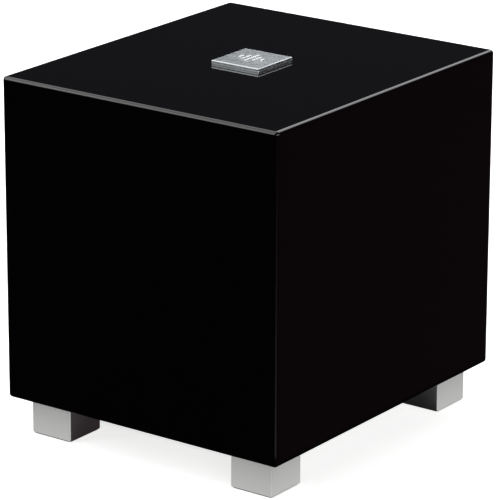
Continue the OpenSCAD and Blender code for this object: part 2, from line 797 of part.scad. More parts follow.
// Round tube along a route.
module tube(route, r, sides = 8) {
    last = len(route) - 1;
    points = [
        for (i = [0 : last])
            let (
                along = heading(route, i),
                across = unit(cross(along, [0.2, 0.1, 1])),
                up = cross(across, along)
            )
            for (k = [0 : sides - 1])
                route[i] + r * (across * cos(k * 360 / sides) + up * sin(k * 360 / sides))
    ];
    walls = [
        for (i = [0 : last - 1], k = [0 : sides - 1])
            [i * sides + k, i * sides + (k + 1) % sides,
                (i + 1) * sides + (k + 1) % sides, (i + 1) * sides + k]
    ];
    polyhedron(points, concat(
        walls,
        [[for (k = [sides - 1 : -1 : 0]) k]],
        [[for (k = [0 : sides - 1]) last * sides + k]]
    ));
}

module speaker_leads() color("firebrick") in_cabinet()
    for (i = [0, 1])
        translate(i * lead_spacing) tube(smooth_route(lead_route, 5), lead_r);

module tinsel_leads() color("darkgoldenrod") in_cabinet()
    for (side = [0, 1]) mirror([side, 0, 0]) tube(smooth_route(tinsel_route, 4), tinsel_r);

// ---- Controls ----

// Outline of the shafts' flatted ends.
module flatted(r)
    intersection() {
        circle(r);
        translate([-r, -r]) square([2 * r, r * 1.55]);
    }

module knob() {
    top = knob_gap + knob_h;
    difference() {
        rotate_extrude() polygon([
            [0, knob_gap], [knob_r, knob_gap], [knob_r, knob_gap + 1.6], [knob_r - 0.5, knob_gap + 2.2],
            [knob_r - 1.2, top - 0.9], [knob_r - 2.1, top], [0, top]
        ]);
        translate([0, 0, knob_gap - past]) cylinder(r = nut_r + 0.8, h = nut_h + slide_gap + past);
        translate([0, 0, knob_gap - past]) linear_extrude(knob_h - 1.5 + past)
            flatted(shaft_r + run_gap);
        around(flute_count, 90 + 180 / flute_count)
            translate([knob_r - 0.1, 0, knob_gap + 2.2]) cylinder(r = 0.9, h = knob_h);
        translate([-0.5, knob_r / 3, top - 0.6]) cube([1, knob_r, 1]);
    }
}

module shaft()
    translate([0, 0, -shaft_back]) {
        cylinder(r = shaft_r, h = shaft_back + knob_gap + nut_h);
        translate([0, 0, shaft_back + knob_gap + nut_h]) linear_extrude(knob_h - 2 - nut_h)
            flatted(shaft_r);
    }

module level_knob() color("#202020") on_panel(knob_spots[0]) knob();

module lfe_knob() color("#202020") on_panel(knob_spots[1]) knob();

module crossover_knob() color("#202020") on_panel(knob_spots[2]) knob();

module level_shaft() color("silver") on_panel(knob_spots[0]) shaft();

module lfe_shaft() color("silver") on_panel(knob_spots[1]) shaft();

module crossover_shaft() color("silver") on_panel(knob_spots[2]) shaft();

// Each control: a square body behind the panel, a threaded bush through it and a nut.
module control_bodies() color("darkgray") for (spot = knob_spots) on_panel(spot)
    difference() {
        union() {
            translate([-pot_w / 2, -pot_w / 2, -amp_t - pot_h]) cube([pot_w, pot_w, pot_h]);
            translate([0, 0, -amp_t - past]) cylinder(r = bush_r, h = amp_t + nut_h + past);
            cylinder(r = nut_r, h = nut_h, $fn = 6);
        }
        translate([0, 0, -shaft_back - slide_gap]) cylinder(r = shaft_r + run_gap, h = 30);
    }

module phase_switch() color("#303030") on_panel(phase_spot)
    difference() {
        translate([-10, -4.5, -amp_t - phase_body_h]) cube([20, 9, phase_body_h]);
        translate([0, 0, -amp_t - phase_body_h + 1])
            linear_extrude(phase_body_h)
                square([lever_w + phase_travel + 2 * slide_gap, lever_h + 2 * slide_gap],
                    center = true);
    }

// Ribbed lever, at rest on the side away from where it slides to.
module phase_lever() color("#101010") on_panel(phase_spot)
    translate([phase_travel / 2, 0, 0]) {
        difference() {
            translate([-lever_w / 2, -lever_h / 2, -amp_t - phase_body_h + 1 + slide_gap])
                cube([lever_w, lever_h, amp_t + phase_body_h - 1 - slide_gap + lever_out]);
            for (x = [-1.4, 0, 1.4])
                translate([x - 0.3, -lever_h, lever_out - 0.6]) cube([0.6, 2 * lever_h, past]);
        }
    }

module power_switch() color("#181818") on_panel(power_spot)
    difference() {
        union() {
            linear_extrude(bezel_t) rounded_rect(switch_w + 3, switch_h + 3, 1.5);
            translate([-switch_w / 2, -switch_h / 2, -switch_depth])
                cube([switch_w, switch_h, switch_depth + past]);
        }
        translate([-rocker_w / 2 - slide_gap, -rocker_r - slide_gap, 2 - switch_depth])
            cube([rocker_w + 2 * slide_gap, 2 * (rocker_r + slide_gap), switch_depth + bezel_t]);
        translate([-rocker_w / 2 - 1.4, 0, rocker_pivot_z]) rotate([0, 90, 0])
            cylinder(r = rocker_pin_r + run_gap, h = rocker_w + 2.8);
    }

// Rocker with a shallow V across its face, resting on its upper stop.
module power_rocker() color("#101010") on_panel(power_spot)
    translate([0, 0, rocker_pivot_z]) rotate([-rocker_tilt, 0, 0]) {
        translate([-rocker_w / 2, 0, 0]) rotate([90, 0, 90]) linear_extrude(rocker_w)
            intersection() {
                circle(rocker_r);
                polygon([
                    [-rocker_r, 6.8], [0, 4.5], [rocker_r, 6.8], [rocker_r, -6], [-rocker_r, -6]
                ]);
            }
        translate([-rocker_w / 2 - 1.2, 0, 0]) rotate([0, 90, 0])
            cylinder(r = rocker_pin_r, h = rocker_w + 2.4);
    }

module status_lamp() color("deepskyblue") on_panel(lamp_spot) {
    translate([0, 0, -amp_t - 5]) cylinder(r = lamp_r, h = amp_t + 5);
    intersection() {
        sphere(lamp_r);
        cylinder(r = lamp_r, h = lamp_r * 0.7);
    }
}

// ---- Sockets ----

// Locking socket: a round well with a post, two keyways and four contact slots.
module high_level_socket() color("#181818") on_panel(high_spot) {
    difference() {
        union() {
            linear_extrude(inlet_flange_t) rounded_rect(socket_flange, socket_flange, 4);
            translate([0, 0, inlet_flange_t - well_depth - 2])
                cylinder(r = socket_body_r, h = well_depth + 2);
        }
        translate([0, 0, inlet_flange_t - well_depth]) cylinder(r = well_r, h = well_depth + past);
        for (a = [45, 225]) rotate(a) translate([well_r - 1, -1.6, inlet_flange_t - well_depth])
            cube([2, 3.2, well_depth + past]);
        for (a = [-45, 135]) rotate(a) translate([socket_flange * 0.58, 0, -past])
            cylinder(r = 1.6, h = 2 * inlet_flange_t + past);
    }
    difference() {
        translate([0, 0, inlet_flange_t - well_depth - 1]) cylinder(r = post_r, h = well_depth);
        around(4, 45) translate([post_r - 1.2, -1.1, inlet_flange_t - well_depth])
            cube([2, 2.2, well_depth]);
        cylinder(r = 1.5, h = 10);
    }
}

// Metal shells of the three line sockets, each with a seat on the panel's face.
module line_socket_shells() color("gold") for (spot = line_spots) on_panel(spot)
    difference() {
        union() {
            translate([0, 0, -amp_t - 6]) cylinder(r = line_r, h = amp_t + 6 + line_out);
            cylinder(r = line_flange_r, h = 1.2, $fn = 6);
        }
        translate([0, 0, -amp_t - 6 - past])
            cylinder(r = line_r - line_shell_t, h = amp_t + 6 + line_out + 2 * past);
    }

module line_socket_inserts() color("whitesmoke") for (spot = line_spots) on_panel(spot)
    difference() {
        translate([0, 0, -amp_t - 8])
            cylinder(r = line_r - line_shell_t - run_gap, h = amp_t + 8 + line_out - 0.4);
        cylinder(r = line_bore_r, h = line_out + past);
    }

// Outline of a mains cavity: a rectangle with its two upper corners cut off.
module inlet_outline(w, h) {
    a = w / 2;
    b = h / 2;
    cut = 4;
    polygon([[-a, -b], [a, -b], [a, b - cut], [a - cut, b], [cut - a, b], [-a, b - cut]]);
}

module mains_inlet() color("#181818") on_panel(inlet_spot)
    difference() {
        union() {
            linear_extrude(inlet_flange_t)
                rounded_rect(inlet_body_w + 5, inlet_body_h + 5, 2.5);
            translate([-inlet_body_w / 2, -inlet_body_h / 2, -inlet_body_depth])
                cube([inlet_body_w, inlet_body_h, inlet_body_depth + past]);
        }
        translate([0, inlet_mid, inlet_flange_t - inlet_depth])
            linear_extrude(inlet_depth + past) inlet_outline(inlet_w, inlet_h);
        translate([0, drawer_mid, inlet_flange_t - drawer_len - slide_gap])
            linear_extrude(drawer_len + slide_gap + past)
                square([drawer_w + 2 * slide_gap, drawer_h + 2 * slide_gap], center = true);
        at_pins() translate([-1 - fit_gap / 2, -2 - fit_gap / 2, -inlet_body_depth - past])
            cube([2 + fit_gap, 4 + fit_gap, inlet_body_depth]);
    }

// Places of the three blades: live and neutral level, earth above and between them.
module at_pins()
    for (spot = [[-7, -2], [0, 2], [7, -2]]) translate([spot.x, inlet_mid + spot.y, 0]) children();

module mains_pins() color("silver") on_panel(inlet_spot) at_pins()
    translate([-1, -2, -inlet_body_depth - 6])
        cube([2, 4, inlet_body_depth + 6 + inlet_flange_t - inlet_depth + pin_out]);

// Tray with a lip to pull it by; the fuse lies across it.
module fuse_drawer() color("#181818") on_panel(inlet_spot) translate([0, drawer_mid, inlet_flange_t])
    difference() {
        union() {
            translate([-drawer_w / 2, -drawer_h / 2, -drawer_len])
                cube([drawer_w, drawer_h, drawer_len]);
            linear_extrude(1.2) rounded_rect(drawer_w, drawer_h, 1);
            translate([-4, drawer_h / 2 - 2, 0]) cube([8, 2, 2.4]);
        }
        translate([-fuse_len / 2 - slide_gap, -drawer_h / 2 + 1, 3 - drawer_len])
            cube([fuse_len + 2 * slide_gap, drawer_h, 2 * fuse_r + 1]);
    }

module fuse() color("lightgray") on_panel(inlet_spot)
    translate([-fuse_len / 2, drawer_mid - drawer_h / 2 + 1 + fuse_r,
        inlet_flange_t - drawer_len + 3 + fuse_r + 0.5])
        rotate([0, 90, 0]) rotate_extrude() polygon([
            [0, 0], [fuse_r, 0], [fuse_r, 5], [fuse_r - 0.2, 5], [fuse_r - 0.2, fuse_len - 5],
            [fuse_r, fuse_len - 5], [fuse_r, fuse_len], [0, fuse_len]
        ]);

cabinet_top();
cabinet_front();
cabinet_left();
cabinet_right();
cabinet_back();
cabinet_bottom();
brace();
wadding();
foot_front_left();
foot_front_right();
foot_back_left();
foot_back_right();
foot_pads();
foot_bolts();
foot_inserts();
badge_base();
badge_plate();
badge_emblem();
driver_basket();
driver_gasket();
driver_screws();
surround();
cone();
dust_cap();
spider();
coil_former();
coil_winding();
top_plate();
magnet();
yoke();
terminal_strip();
tinsel_leads();
amp_panel();
amp_gasket();
amp_screws();
heat_bracket();
circuit_board();
transformer();
capacitors();
output_devices();
speaker_leads();
level_knob();
lfe_knob();
crossover_knob();
level_shaft();
lfe_shaft();
crossover_shaft();
control_bodies();
phase_switch();
phase_lever();
power_switch();
power_rocker();
status_lamp();
high_level_socket();
line_socket_shells();
line_socket_inserts();
mains_inlet();
mains_pins();
fuse_drawer();
fuse();
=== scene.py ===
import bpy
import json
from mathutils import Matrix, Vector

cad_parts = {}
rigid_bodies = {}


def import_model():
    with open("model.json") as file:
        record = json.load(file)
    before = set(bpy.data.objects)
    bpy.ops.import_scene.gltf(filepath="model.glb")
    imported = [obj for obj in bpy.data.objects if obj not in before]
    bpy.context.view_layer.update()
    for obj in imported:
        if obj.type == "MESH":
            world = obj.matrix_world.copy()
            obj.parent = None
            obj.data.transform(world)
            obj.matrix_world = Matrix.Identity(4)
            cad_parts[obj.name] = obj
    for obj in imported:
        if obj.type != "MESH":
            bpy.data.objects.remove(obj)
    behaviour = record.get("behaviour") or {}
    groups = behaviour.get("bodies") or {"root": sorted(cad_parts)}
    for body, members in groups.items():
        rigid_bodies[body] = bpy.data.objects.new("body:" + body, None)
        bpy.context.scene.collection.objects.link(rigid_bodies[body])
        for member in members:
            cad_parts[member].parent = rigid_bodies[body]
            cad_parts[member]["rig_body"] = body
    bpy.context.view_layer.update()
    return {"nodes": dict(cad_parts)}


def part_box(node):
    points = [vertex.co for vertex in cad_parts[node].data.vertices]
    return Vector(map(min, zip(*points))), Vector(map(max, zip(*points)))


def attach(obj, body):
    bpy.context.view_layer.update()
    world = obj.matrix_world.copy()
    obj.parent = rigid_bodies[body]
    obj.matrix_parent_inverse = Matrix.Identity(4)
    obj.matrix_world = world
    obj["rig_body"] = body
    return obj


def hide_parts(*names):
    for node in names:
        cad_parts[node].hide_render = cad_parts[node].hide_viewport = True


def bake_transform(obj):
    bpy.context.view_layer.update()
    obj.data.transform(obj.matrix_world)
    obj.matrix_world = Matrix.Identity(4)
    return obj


bl_info = {
    "name": "Compact Subwoofer",
    "version": (1, 0, 0),
    "blender": (4, 5, 0),
    "location": "3D View > Sidebar > Subwoofer",
    "description": "Dresses the packed subwoofer: lacquer, metals, driver, rear panel and studio",
    "category": "Object",
}

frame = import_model()

import json
import math

import bmesh
import bpy
from bpy.props import FloatProperty, FloatVectorProperty, IntProperty, PointerProperty
from mathutils import Matrix, Vector, noise

MM = 0.001

# Places that everything else is worked out from, all in metres in the frame.
CABINET_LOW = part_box("cabinet_front")[0]
CABINET_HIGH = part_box("cabinet_back")[1]
CABINET_MID = (CABINET_LOW + CABINET_HIGH) / 2
DRIVER_AXIS = Vector((CABINET_MID.x, CABINET_MID.y, CABINET_LOW.z))
PANEL_MID = Vector((CABINET_MID.x, CABINET_HIGH.y, CABINET_MID.z))

# The amplifier panel's own axes seen from behind: right, up and out of the panel.
PANEL_AXES = Matrix(((-1, 0, 0), (0, 0, 1), (0, 1, 0)))

# Sizes that the finished pieces share with the CAD, in millimetres.
DRIVER_SEAT_RADIUS, DRIVER_SEAT_DEPTH, DRIVER_HOLE_RADIUS = 83.5, 5, 74.5
PANEL_SEAT, PANEL_SEAT_DEPTH, PANEL_HOLE, PANEL_CORNER = (164.4, 170.4), 4, (148, 154), 6
FORMER_RADIUS, NECK_RADIUS, CONE_RADIUS, CONE_LIP, CONE_RISE = 15.9, 15.95, 53.4, 57.8, 1.2
DUST_CAP_RADIUS, DUST_CAP_RISE = 22, 7
SURROUND_LEVEL, ROLL_MIDDLE, ROLL_LIPS = 0.6, 62, {"outer": 72.4, "inner": 54.0}
SPIDER_RADIUS, SPIDER_FLANGE, SPIDER_TOP = 45.5, 47.9, 40.7
SPIDER_CLOTH, SPIDER_SWING, SPIDER_WAVES = 0.5, 1.1, 5
LEAD_RADIUS = 0.8
LEAD_ROUTE = ((5, 66.45, 37), (7, 67.3, 33), (13, 64.5, 28), (18, 57, 26), (18.5, 48, 26),
              (15.5, 41, 22.5), (13.2, 36.5, 17.9), (12.5, 34.6, 15.2))
SCREW_LENGTH, RIM_SCREWS, RIM_SCREW_RING = 12.5, 8, 78
PANEL_SCREWS = ((-78, -81), (-78, 0), (-78, 81), (78, -81), (78, 0), (78, 81), (0, -81), (0, 81))
KNOBS = {"level": (-54, 50), "lfe": (-18, 50), "crossover": (18, 50)}
KNOB_SWEEP = math.radians(300)
POINTER_UP, POINTER_OUT, POINTER_BAR = 5.6, (9.3, 9.9), (0.9, 4.2, 0.2)
MARK_FILM, MARK_BAR = (-0.01, 0.03), (2.6, 0.5, 0.1)


def on_panel(right, up, out):
    """Point in the frame from millimetres across, up and out of the amplifier panel."""
    return PANEL_MID + PANEL_AXES @ (Vector((right, up, out)) * MM)


def linear(hex_colour):
    """Linear colour from an sRGB hex value."""
    channels = [int(hex_colour[i:i + 2], 16) / 255 for i in (0, 2, 4)]
    return tuple(c / 12.92 if c <= 0.04045 else ((c + 0.055) / 1.055) ** 2.4
                 for c in channels) + (1.0,)


# ---- Sizes and colours that a user would change ----


def length(name, description, millimetres):
    """Length property with its default in millimetres."""
    return FloatProperty(name=name, description=description, default=millimetres * MM,
                         min=0.0, unit="LENGTH", precision=4)


def colour(name, description, hex_colour):
    """Colour property with its default as an sRGB hex value."""
    return FloatVectorProperty(name=name, description=description, subtype="COLOR", size=4,
                               min=0.0, max=1.0, default=linear(hex_colour))


class CabinetLook(bpy.types.PropertyGroup):
    """Lacquered cabinet."""
    wall: length("Wall", "Thickness of the boards", 15)
    edge_radius: length("Edge radius", "Rounding of the cabinet's outer edges", 2.5)
    mouth_chamfer: length("Mouth chamfer", "Broken edge round the openings for driver and panel", 0.5)
    lacquer: colour("Lacquer", "Colour under the clear gloss", "030203")
    fibreboard: colour("Fibreboard", "Raw board inside", "A88259")


class TrimLook(bpy.types.PropertyGroup):
    """Feet and badge."""
    edge_radius: length("Edge radius", "Rounding of the metal's edges", 0.5)
    pad_hidden: length("Pad in foot", "Depth of the rubber pad that the foot's rim hides", 1.3)
    badge_width: length("Badge width", "Side of the square badge", 37.5)
    badge_height: length("Badge height", "Height of the badge's plate above the lacquer", 2.8)
    feet: colour("Feet", "Satin anodised aluminium", "C4C3C1")
    badge: colour("Badge", "Brushed aluminium", "C4C8CA")


class DriverLook(bpy.types.PropertyGroup):
    """Driver in the floor of the cabinet."""
    segments: IntProperty(name="Segments", description="Facets round the driver's turned pieces",
                          default=144, min=24, max=256)
    roll_radius: length("Roll radius", "Outer radius of the surround's half roll", 5.5)
    rubber: length("Rubber", "Thickness of the surround", 0.9)
    cone_depth: length("Cone depth", "Height of the cone from rim to neck", 31)
    cone_paper: length("Cone thickness", "Thickness of the pressed pulp", 0.9)
    cone: colour("Cone", "Coated pulp", "2A2A2C")


class PanelLook(bpy.types.PropertyGroup):
    """Amplifier panel and what it carries."""
    edge_radius: length("Edge radius", "Rounding of the moulded and machined edges", 0.2)
    marks: IntProperty(name="Marks", description="Marks round each knob", default=11, min=3, max=31)
    mark_ring: length("Mark ring", "Radius of the ring of marks", 13.6)
    metal: colour("Panel", "Black anodised aluminium", "1B1B1D")
    ink: colour("Ink", "Printed marks and pointers", "E8E8E4")


class StageLook(bpy.types.PropertyGroup):
    """Camera, floor and lights."""
    azimuth: FloatProperty(name="Azimuth", description="Camera's turn round the object",
                           default=math.radians(36.084), subtype="ANGLE")
    elevation: FloatProperty(name="Elevation", description="Camera's height above the horizon",
                             default=math.radians(18.121), subtype="ANGLE")
    roll: FloatProperty(name="Roll", description="Camera's roll", default=math.radians(0.160),
                        subtype="ANGLE")
    distance: length("Distance", "From the camera to its target", 2294.5)
    lens: FloatProperty(name="Lens", description="Focal length on a 36 mm sensor", default=251.5,
                        min=1.0, unit="CAMERA")
    target: FloatVectorProperty(name="Target", description="Point the camera looks at",
                                default=(-0.00102, -0.00516, 0.11602), subtype="TRANSLATION")
    floor: colour("Floor", "Matt white floor", "F4F4F3")


LOOKS = {"cabinet": CabinetLook, "trim": TrimLook, "driver": DriverLook, "rear": PanelLook,
         "stage": StageLook}


def look(part):
    """The settings of one part."""
    return getattr(bpy.context.scene, "subwoofer_" + part)


# ---- Meshes ----


def circle_points(count, radius):
    """Points round a circle, counter-clockwise."""
    return [(radius * math.cos(2 * math.pi * k / count), radius * math.sin(2 * math.pi * k / count))
            for k in range(count)]


def rounded_rectangle(width, height, radius, steps=8):
    """Points round a rectangle with round corners, counter-clockwise."""
    points = []
    for quarter, (side, end) in enumerate(((1, 1), (-1, 1), (-1, -1), (1, -1))):
        for i in range(steps + 1):
            turn = math.pi / 2 * (quarter + i / steps)
            points.append((side * (width / 2 - radius) + radius * math.cos(turn),
                           end * (height / 2 - radius) + radius * math.sin(turn)))
    return points


def loft(loops):
    """Closed solid through loops of equal length, capped at both ends."""
    bm = bmesh.new()
    rings = [[bm.verts.new(point) for point in loop] for loop in loops]
    for low, high in zip(rings, rings[1:]):
        for i in range(len(low)):
            j = (i + 1) % len(low)
            bm.faces.new((low[i], low[j], high[j], high[i]))
    bm.faces.new(rings[0][::-1])
    bm.faces.new(rings[-1])
    bmesh.ops.recalc_face_normals(bm, faces=bm.faces)
    return bm


def revolve(outline, segments, centre=DRIVER_AXIS):
    """Closed solid from a closed outline of (radius, height) turned about a vertical axis."""
    bm = bmesh.new()
    rings = [[bm.verts.new(centre + Vector((r * x, r * y, z))) for r, z in outline]
             for x, y in circle_points(segments, 1.0)]
    for here, there in zip(rings, rings[1:] + rings[:1]):
        for i in range(len(outline)):
            j = (i + 1) % len(outline)
            if outline[i][0] > 0 or outline[j][0] > 0:
                bm.faces.new((here[i], there[i], there[j], here[j]))
    bmesh.ops.remove_doubles(bm, verts=bm.verts, dist=1e-7)
    bmesh.ops.recalc_face_normals(bm, faces=bm.faces)
    return bm


def clamped(point, low, high, margin):
    """Nearest point of a box drawn in by a margin."""
    return Vector([min(max(p, a + margin), b - margin) for p, a, b in zip(point, low, high)])


def block(low, high, cuts=0):
    """Box between two corners, each of its sides cut into a grid."""
    bm = bmesh.new()
    bmesh.ops.create_cube(bm, size=1.0)
    if cuts:
        bmesh.ops.subdivide_edges(bm, edges=bm.edges, cuts=cuts, use_grid_fill=True)
    bmesh.ops.scale(bm, vec=high - low, verts=bm.verts)
    bmesh.ops.translate(bm, vec=(low + high) / 2, verts=bm.verts)
    return bm


def thicken(path, thickness):
    """Closed outline of even thickness round an open path of (radius, height)."""
    sides = []
    for i, point in enumerate(path):
        before, after = path[max(i - 1, 0)], path[min(i + 1, len(path) - 1)]
        along = Vector((after[0] - before[0], after[1] - before[1])).normalized()
        across = Vector((-along.y, along.x)) * thickness / 2
        sides.append((Vector(point) + across, Vector(point) - across))
    return [tuple(a) for a, _ in sides] + [tuple(b) for _, b in reversed(sides)]


def linked(name, data):
    """Object in the scene that shows its data."""
    obj = bpy.data.objects.new(name, data)
    bpy.context.scene.collection.objects.link(obj)
    return obj


def new_object(name, bm, *finishes, sharp=35):
    """Object at the origin from a bmesh, smooth but for its sharp edges, in the finishes named."""
    mesh = bpy.data.meshes.new(name)
    bm.to_mesh(mesh)
    bm.free()
    mesh.polygons.foreach_set("use_smooth", [True] * len(mesh.polygons))
    mesh.set_sharp_from_angle(angle=math.radians(sharp))
    for skin in finishes:
        mesh.materials.append(finish(skin))
    return linked(name, mesh)


def bake(obj):
    """Turns an object's modifiers into plain mesh."""
    graph = bpy.context.evaluated_depsgraph_get()
    made = bpy.data.meshes.new_from_object(obj.evaluated_get(graph), preserve_all_data_layers=True,
                                           depsgraph=graph)
    obj.modifiers.clear()
    rough = obj.data
    obj.data = made
    bpy.data.meshes.remove(rough)
    made.name = obj.name


def cut(obj, *cutters):
    """Takes the cutters' solids out of an object."""
    for cutter in cutters:
        knife = obj.modifiers.new(cutter.name, "BOOLEAN")
        knife.object = cutter
        knife.operation = "DIFFERENCE"
        knife.solver = "EXACT"
    bake(obj)
    for cutter in cutters:
        bpy.data.objects.remove(cutter)


def settle(obj, body, slot, *nodes):
    """Puts a finished piece on its CAD body, in place of the CAD nodes it stands for."""
    if not obj.data.polygons:
        raise RuntimeError(obj.name + " came out empty")
    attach(obj, body)
    if nodes:
        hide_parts(*nodes)
    return obj


def cad_copy(node):
    """Merged bmesh copy of a CAD node, with its flat faces in one piece."""
    bm = bmesh.new()
    bm.from_mesh(frame["nodes"][node].data)
    bmesh.ops.remove_doubles(bm, verts=bm.verts, dist=2e-6)
    bmesh.ops.dissolve_limit(bm, angle_limit=math.radians(0.3), verts=bm.verts, edges=bm.edges)
    return bm


def softened(node, radius, skin):
    """Piece that stands for a CAD node, with the node's sharp edges rounded as the real ones are."""
    source = frame["nodes"][node]
    obj = new_object(node + "_finished", cad_copy(node), skin)
    edge = obj.modifiers.new("edges", "BEVEL")
    edge.width = radius
    edge.segments = 2
    edge.limit_method = "ANGLE"
    edge.angle_limit = math.radians(30)
    even = obj.modifiers.new("normals", "WEIGHTED_NORMAL")
    even.keep_sharp = False
    bake(obj)
    return settle(obj, source["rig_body"], source.data.materials[0].name, node)


def paint(node, *finishes):
    """Gives a CAD node its finish, or several for recolour to share out."""
    mesh = frame["nodes"][node].data
    mesh.materials.clear()
    for skin in finishes:
        mesh.materials.append(finish(skin))


def recolour(obj, which):
    """Gives each face the finish that which(centre) says."""
    for face in obj.data.polygons:
        face.material_index = which(face.center)


# ---- Materials ----


def add(tree, kind, inputs=None, **settings):
    """Adds one node with its settings; an input is a value or another node's output."""
    node = tree.nodes.new(kind)
    for name, value in settings.items():
        setattr(node, name, value)
    for socket, value in (inputs or {}).items():
        if isinstance(value, bpy.types.NodeSocket):
            tree.links.new(value, node.inputs[socket])
        else:
            node.inputs[socket].default_value = value
    return node


def cells(millimetres):
    """Pattern scale, in cells to a metre, for a detail of that real size."""
    return 1 / (millimetres * MM)


def ranged(tree, value, source, target):
    """Value carried from one range to another."""
    return add(tree, "ShaderNodeMapRange",
               {"Value": value, "From Min": source[0], "From Max": source[1],
                "To Min": target[0], "To Max": target[1]}).outputs[0]


def mixed(tree, factor, first, second):
    """Colour between two colours."""
    return add(tree, "ShaderNodeMix", {"Factor": factor, "A": first, "B": second},
               data_type="RGBA").outputs["Result"]


def relief(tree, height, millimetres):
    """Normal bent by a height pattern of that depth."""
    return add(tree, "ShaderNodeBump", {"Height": height, "Strength": 1.0,
                                        "Distance": millimetres * MM}).outputs[0]


def shade(colour_name):
    """Linear colour of an sRGB hex value, or of a setting written as part.setting."""
    part, dot, setting = colour_name.partition(".")
    return getattr(look(part), setting) if dot else linear(part)


METAL = {"Metallic": 1.0}

